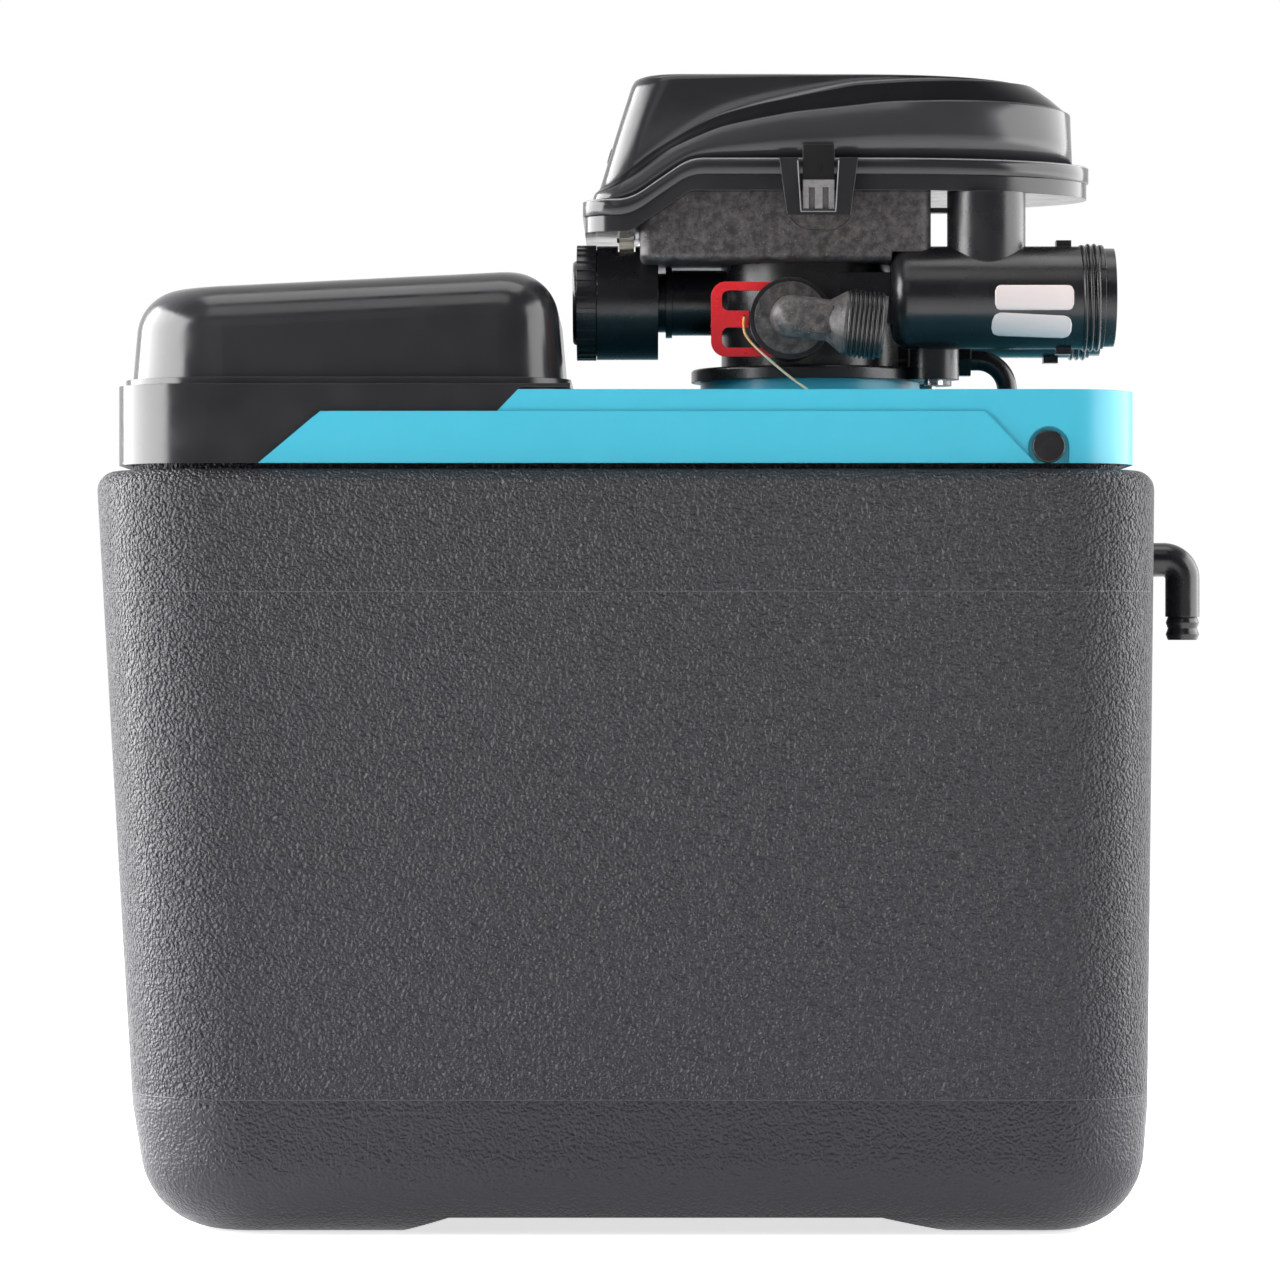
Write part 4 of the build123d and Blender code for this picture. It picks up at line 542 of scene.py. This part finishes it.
# Two bare labels, each from its left, top, right and bottom edges in the photograph
for name, left, top, right, bottom, corner, lean in (("label_upper", 995, 285, 1074, 310, 0.0028, 0.0),
                                                     ("label_lower", 992, 314, 1071, 337, 0.0044, 3.0)):
    x_low, high = on_port(left, top)
    x_high, low = on_port(right, bottom)
    height = (high - low) * PORT_RADIUS
    bent_label(name, x_low, x_high, (high + low) / 2, height, min(corner, height / 2 - 1e-5),
               math.radians(lean))


# ---------------------------------------------------------------- head cover and tray rim
def eased(points, reach=5.0):
    """Height along X through some points, eased over a short reach."""
    def straight(x):
        if x <= points[0][0]:
            return points[0][1]
        for (start, low), (end, high) in zip(points, points[1:]):
            if x <= end:
                return low + (x - start) / (end - start) * (high - low)
        return points[-1][1]

    def smooth(x):
        return sum(straight(x + reach * step / 4) for step in range(-4, 5)) / 9

    return smooth


def ring(side_in, front_in, tail_in, height, corner=None, draw=None):
    """Closed loop on the head's outline, drawn in by its own amount at the sides, front and tail.

    height gives its height along X, and draw how much further its sides are drawn in along X.
    """
    half = HEAD_HALF - side_in
    front = HEAD_FRONT + front_in
    corner = corner or max(1.0, min(FRONT_CORNER - side_in, half - 0.5))
    tail_x = HEAD_END - TAIL
    reach = TAIL - tail_in
    corner_x = front + corner
    right = math.pi / 2
    flat = []
    for step in range(LONG_STEPS):
        angle = -right + math.pi * step / LONG_STEPS
        flat.append((tail_x + reach * math.cos(angle), half * math.sin(angle)))
    for step in range(LONG_STEPS):
        flat.append((tail_x + (corner_x - tail_x) * step / LONG_STEPS, half))
    for step in range(SHORT_STEPS):
        angle = right + right * step / SHORT_STEPS
        flat.append((corner_x + corner * math.cos(angle), half - corner + corner * math.sin(angle)))
    for step in range(SHORT_STEPS):
        flat.append((front, (half - corner) * (1 - 2 * step / SHORT_STEPS)))
    for step in range(SHORT_STEPS):
        angle = math.pi + right * step / SHORT_STEPS
        flat.append((corner_x + corner * math.cos(angle), corner - half + corner * math.sin(angle)))
    for step in range(LONG_STEPS):
        flat.append((corner_x + (tail_x - corner_x) * step / LONG_STEPS, -half))
    if draw:
        flat = [(x, y * (1 - draw(x) / half)) for x, y in flat]
    return [(x * MM, y * MM, height(x) * MM) for x, y in flat]


def stacked(name, rings, body, material, close_top=False, close_loop=False):
    """Skin over loops that all have the same number of points."""
    verts = [spot for loop in rings for spot in loop]
    size = len(rings[0])
    faces = []
    lanes = len(rings) if close_loop else len(rings) - 1
    for lane in range(lanes):
        upper = (lane + 1) % len(rings)
        for step in range(size):
            after = (step + 1) % size
            faces.append((lane * size + step, lane * size + after, upper * size + after, upper * size + step))
    if close_top:
        faces.append(tuple((len(rings) - 1) * size + step for step in range(size)))
    return piece(name, verts, faces, body, material)


# Heights along X, in millimetres: the tray's rim, the ridge over it, the scooped band's top and the crown
rim_line = eased([(-60, 476.5), (-11.8, 476.5), (16.0, 495.5), (300, 495.5)], 5.5)
ridge_line = eased([(-60, 478.6), (-27.6, 479.6), (-19.3, 482.4), (-9.1, 488.0), (-2.6, 493.1), (5.8, 499.6),
                    (19.3, 505.9), (30.9, 510.5), (47.6, 514.2), (64.3, 517.3), (94.5, 520.6), (106.0, 522.0),
                    (129.5, 523.0), (153.0, 523.4), (169.0, 523.3), (186.0, 522.4), (200.0, 520.6)], 4)
band_line = eased([(-60, 481.0), (-24.4, 482.9), (-15.1, 488.0), (-4.4, 497.3), (5.8, 503.8), (18.3, 511.2),
                   (30.9, 516.8), (47.6, 521.4), (71.8, 526.5), (93.0, 530.6), (118.0, 532.2), (138.0, 533.2),
                   (160.0, 533.7), (300, 533.9)], 4)
crown_line = eased([(-40, 531.0), (-13.1, 533.0), (-9.0, 535.2), (-4.0, 536.1), (3.1, 536.4), (60.0, 536.5),
                    (100.0, 536.4), (130.0, 536.1), (150.0, 535.8), (168.0, 535.3), (180.0, 534.6),
                    (200.0, 534.0)], 2)


def band_top(x):
    """Top of the scooped band, which stays under the crown and over the ridge."""
    return max(min(band_line(x), crown_line(x) - 1.2), ridge_line(x) + 0.5)


def band_draw(x):
    """How far the top of the scooped band lies inside its foot."""
    return 0.12 * max(0.0, band_top(x) - ridge_line(x) - 1.0)


def over_band(share):
    """Height between the top of the scooped band and a little under the crown."""
    return lambda x: band_top(x) + share * max(0.2, crown_line(x) - 0.6 - band_top(x))


def ledge(x):
    """Height of the ridge, where it runs into the rim too."""
    return max(ridge_line(x), rim_line(x) + 0.6)


def half_way(x):
    """Height half way up the scooped band."""
    return (ledge(x) + 0.3 + band_top(x)) / 2


# The cover's skin from the rim up, each loop as side_in, front_in, tail_in, height, corner and draw
skirt_rings = [
    ring(4.2, 3.8, 6.7, rim_line, 14),
    ring(4.9, 3.9, 7.2, lambda x: (ledge(x) + rim_line(x)) / 2, 14),
    ring(5.4, 4.0, 7.6, lambda x: max(ridge_line(x) - 0.7, rim_line(x) + 0.3), 14),
    ring(5.7, 4.1, 7.8, lambda x: max(ridge_line(x) - 0.25, rim_line(x) + 0.5), 14),
    ring(5.8, 4.15, 8.0, lambda x: ledge(x) - 0.05, 14),
    ring(6.0, 4.2, 8.2, ledge, 14),
    ring(7.1, 4.4, 9.2, lambda x: ledge(x) + 0.03, 14),
    ring(7.3, 4.45, 9.5, lambda x: ledge(x) + 0.12, 14),
]
band_rings = [
    ring(7.4, 4.5, 10.2, lambda x: min(ledge(x) + 0.7, half_way(x)), 14),
    ring(7.8, 5.6, 17.0, half_way, 15, lambda x: 0.5 * band_draw(x)),
    ring(8.15, 6.5, 24.4, lambda x: max(band_top(x) - 0.4, half_way(x)), 16, band_draw),
    ring(8.2, 6.8, 25.2, band_top, 16, band_draw),
]
upper_rings = []
for share in (0.015, 0.05, 0.09, 0.15, 0.24, 0.35, 0.48, 0.62, 0.76, 0.88, 0.95):
    flare = 1 - math.exp(-3.5 * share)
    upper_rings.append(ring(8.3 + 3.6 * flare, 6.9 + 15.5 * share, 25.2 + 6.5 * flare, over_band(share),
                            16 + 4 * share, band_draw))
for side_in, front_in, tail_in, drop in ((12.9, 22.9, 32.6, 0.8), (14.6, 24.9, 34.0, 0.3),
                                         (17.5, 27.7, 36.5, 0.08)):
    upper_rings.append(ring(side_in, front_in, tail_in,
                            lambda x, drop=drop: max(crown_line(x) - drop, band_top(x) + 0.3), 20, band_draw))
for side_in, front_in, tail_in, corner in ((22.0, 31.5, 40.0, 20), (31.0, 39.0, 48.0, 20),
                                           (44.0, 52.0, 60.0, 12), (57.5, 70.0, 80.0, 1)):
    upper_rings.append(ring(side_in, front_in, tail_in, crown_line, corner))
cover_rings = skirt_rings + band_rings + upper_rings
cover = stacked("cover_shell", cover_rings, "cover", cover_finish, close_top=True)
# Painted light and shade on the cover, point by point: -1 paints the skirt lighter, 1 paints the scooped band
# darker, 0 leaves the crown plain.
painted_light_zones = [-1.0] * len(skirt_rings) + [1.0] * len(band_rings) + [0.0] * len(upper_rings)
painted_light_zone = cover.data.attributes.new("painted_light_zone", "FLOAT", "POINT")
painted_light_zone.data.foreach_set("value", [value for value in painted_light_zones for _ in cover_rings[0]])
shell = cover.modifiers.new("wall", "SOLIDIFY")
shell.thickness = 0.0022
shell.offset = -1
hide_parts("head_cover")


def around_tray(name, profile, material):
    """Band round the tray from its section: how far out of the tray and how far over its rim."""
    rings = [ring(-out, -out, -out, lambda x, over=over: rim_line(x) + over) for out, over in profile]
    stacked(name, rings, "base", material, close_loop=True)


around_tray("tray_rim", ((-0.3, 0.0), (0.6, -0.1), (1.0, -0.6), (1.0, -7.0), (0.5, -7.5), (-0.3, -7.6)),
            finishes["gloss_black"])
# The lip round the tray is painted light grey as a painted highlight along the seam.
around_tray("tray_lip_painted_highlight", ((0.3, -0.1), (0.6, 0.15), (0.9, -0.05), (1.05, -0.4), (0.7, -0.7)), painted_highlight_finish)


def raised_line(name, y, path, radius, material):
    """Fine raised line at one distance from the middle, through places along X and Z."""
    data = round_line(name, [(x, y, z) for x, z in path], radius * MM, 3)
    place_piece(name, data, "base", material)


SMILE_PATH = [(62.5, 468.5), (64.5, 465.2), (70.0, 462.8), (76.6, 462.3), (83.2, 462.8), (88.7, 465.2),
              (90.7, 468.5)]
EDGE_PATH = [(65.8, 494.1), (67.3, 471.2), (67.3, 470.5), (68.0, 470.5), (82.8, 470.5), (83.5, 470.5),
             (83.5, 471.2), (84.9, 494.1)]
# The latch edges are painted light grey as painted highlights; the smile lines keep the casing's grey.
for tag, side in (("near", -1), ("far", 1)):
    raised_line("latch_smile_" + tag, side * SMILE_OUT, SMILE_PATH, 0.45,
                finishes["grey_plastic"])
    raised_line("latch_edge_painted_highlight_" + tag, side * LATCH_OUT, EDGE_PATH, 0.28, painted_highlight_finish)


# ---------------------------------------------------------------- floor, world and lamps
def floor_finish():
    """Pale floor that also shines for the camera and in reflections, so that it joins the white behind."""
    made = bpy.data.materials.new("floor_pale")
    made.use_nodes = True
    tree = made.node_tree
    tree.nodes.clear()
    out = tree.nodes.new("ShaderNodeOutputMaterial")
    plain = tree.nodes.new("ShaderNodeBsdfDiffuse")
    plain.inputs["Color"].default_value = (FLOOR_GREY, FLOOR_GREY, FLOOR_GREY, 1)
    glow = tree.nodes.new("ShaderNodeEmission")
    rays = tree.nodes.new("ShaderNodeLightPath")
    seen = new_node(tree, "ShaderNodeMath", operation="MAXIMUM")
    tree.links.new(rays.outputs["Is Camera Ray"], seen.inputs[0])
    tree.links.new(rays.outputs["Is Glossy Ray"], seen.inputs[1])
    share = new_node(tree, "ShaderNodeMath", operation="MULTIPLY")
    share.inputs[1].default_value = FLOOR_GLOW
    tree.links.new(seen.outputs[0], share.inputs[0])
    tree.links.new(share.outputs[0], glow.inputs["Strength"])
    both = tree.nodes.new("ShaderNodeAddShader")
    tree.links.new(plain.outputs[0], both.inputs[0])
    tree.links.new(glow.outputs[0], both.inputs[1])
    tree.links.new(both.outputs[0], out.inputs["Surface"])
    return made


floor_data = bpy.data.meshes.new("floor")
floor_data.from_pydata([(x * FLOOR_HALF, y * FLOOR_HALF, 0) for x, y in ((-1, -1), (1, -1), (1, 1), (-1, 1))],
                       [], [(0, 1, 2, 3)])
floor_data.materials.append(floor_finish())
floor = link(bpy.data.objects.new("floor", floor_data))
floor.location.z = -FLOOR_GAP

world = bpy.data.worlds.new("studio")
scene.world = world
world.use_nodes = True
tree = world.node_tree
sky = tree.nodes["Background"]
rays = tree.nodes.new("ShaderNodeLightPath")
where = tree.nodes.new("ShaderNodeTexCoord")
parts = tree.nodes.new("ShaderNodeSeparateXYZ")
tree.links.new(where.outputs["Generated"], parts.inputs[0])
depth = new_node(tree, "ShaderNodeMapRange", interpolation_type="SMOOTHSTEP")
for entry, number in zip(("From Min", "From Max", "To Min", "To Max"), WORLD_FADE):
    depth.inputs[entry].default_value = number
tree.links.new(parts.outputs["Y"], depth.inputs["Value"])
clear = new_node(tree, "ShaderNodeMath", operation="MAXIMUM")
tree.links.new(rays.outputs["Is Camera Ray"], clear.inputs[0])
tree.links.new(rays.outputs["Is Transmission Ray"], clear.inputs[1])
level = tree.nodes.new("ShaderNodeMix")
tree.links.new(clear.outputs[0], level.inputs[0])
tree.links.new(depth.outputs[0], level.inputs[2])
level.inputs[3].default_value = 1
tree.links.new(level.outputs[0], sky.inputs["Strength"])
sky.inputs["Color"].default_value = (1, 1, 1, 1)

for name, place, target, wide, high, power in LAMPS:
    lamp_data = bpy.data.lights.new(name, "AREA")
    lamp_data.shape = "RECTANGLE"
    lamp_data.size = wide
    lamp_data.size_y = high
    lamp_data.energy = power
    lamp = link(bpy.data.objects.new(name, lamp_data))
    lamp.location = place
    lamp.rotation_euler = (Vector(target) - Vector(place)).to_track_quat("-Z", "Y").to_euler()
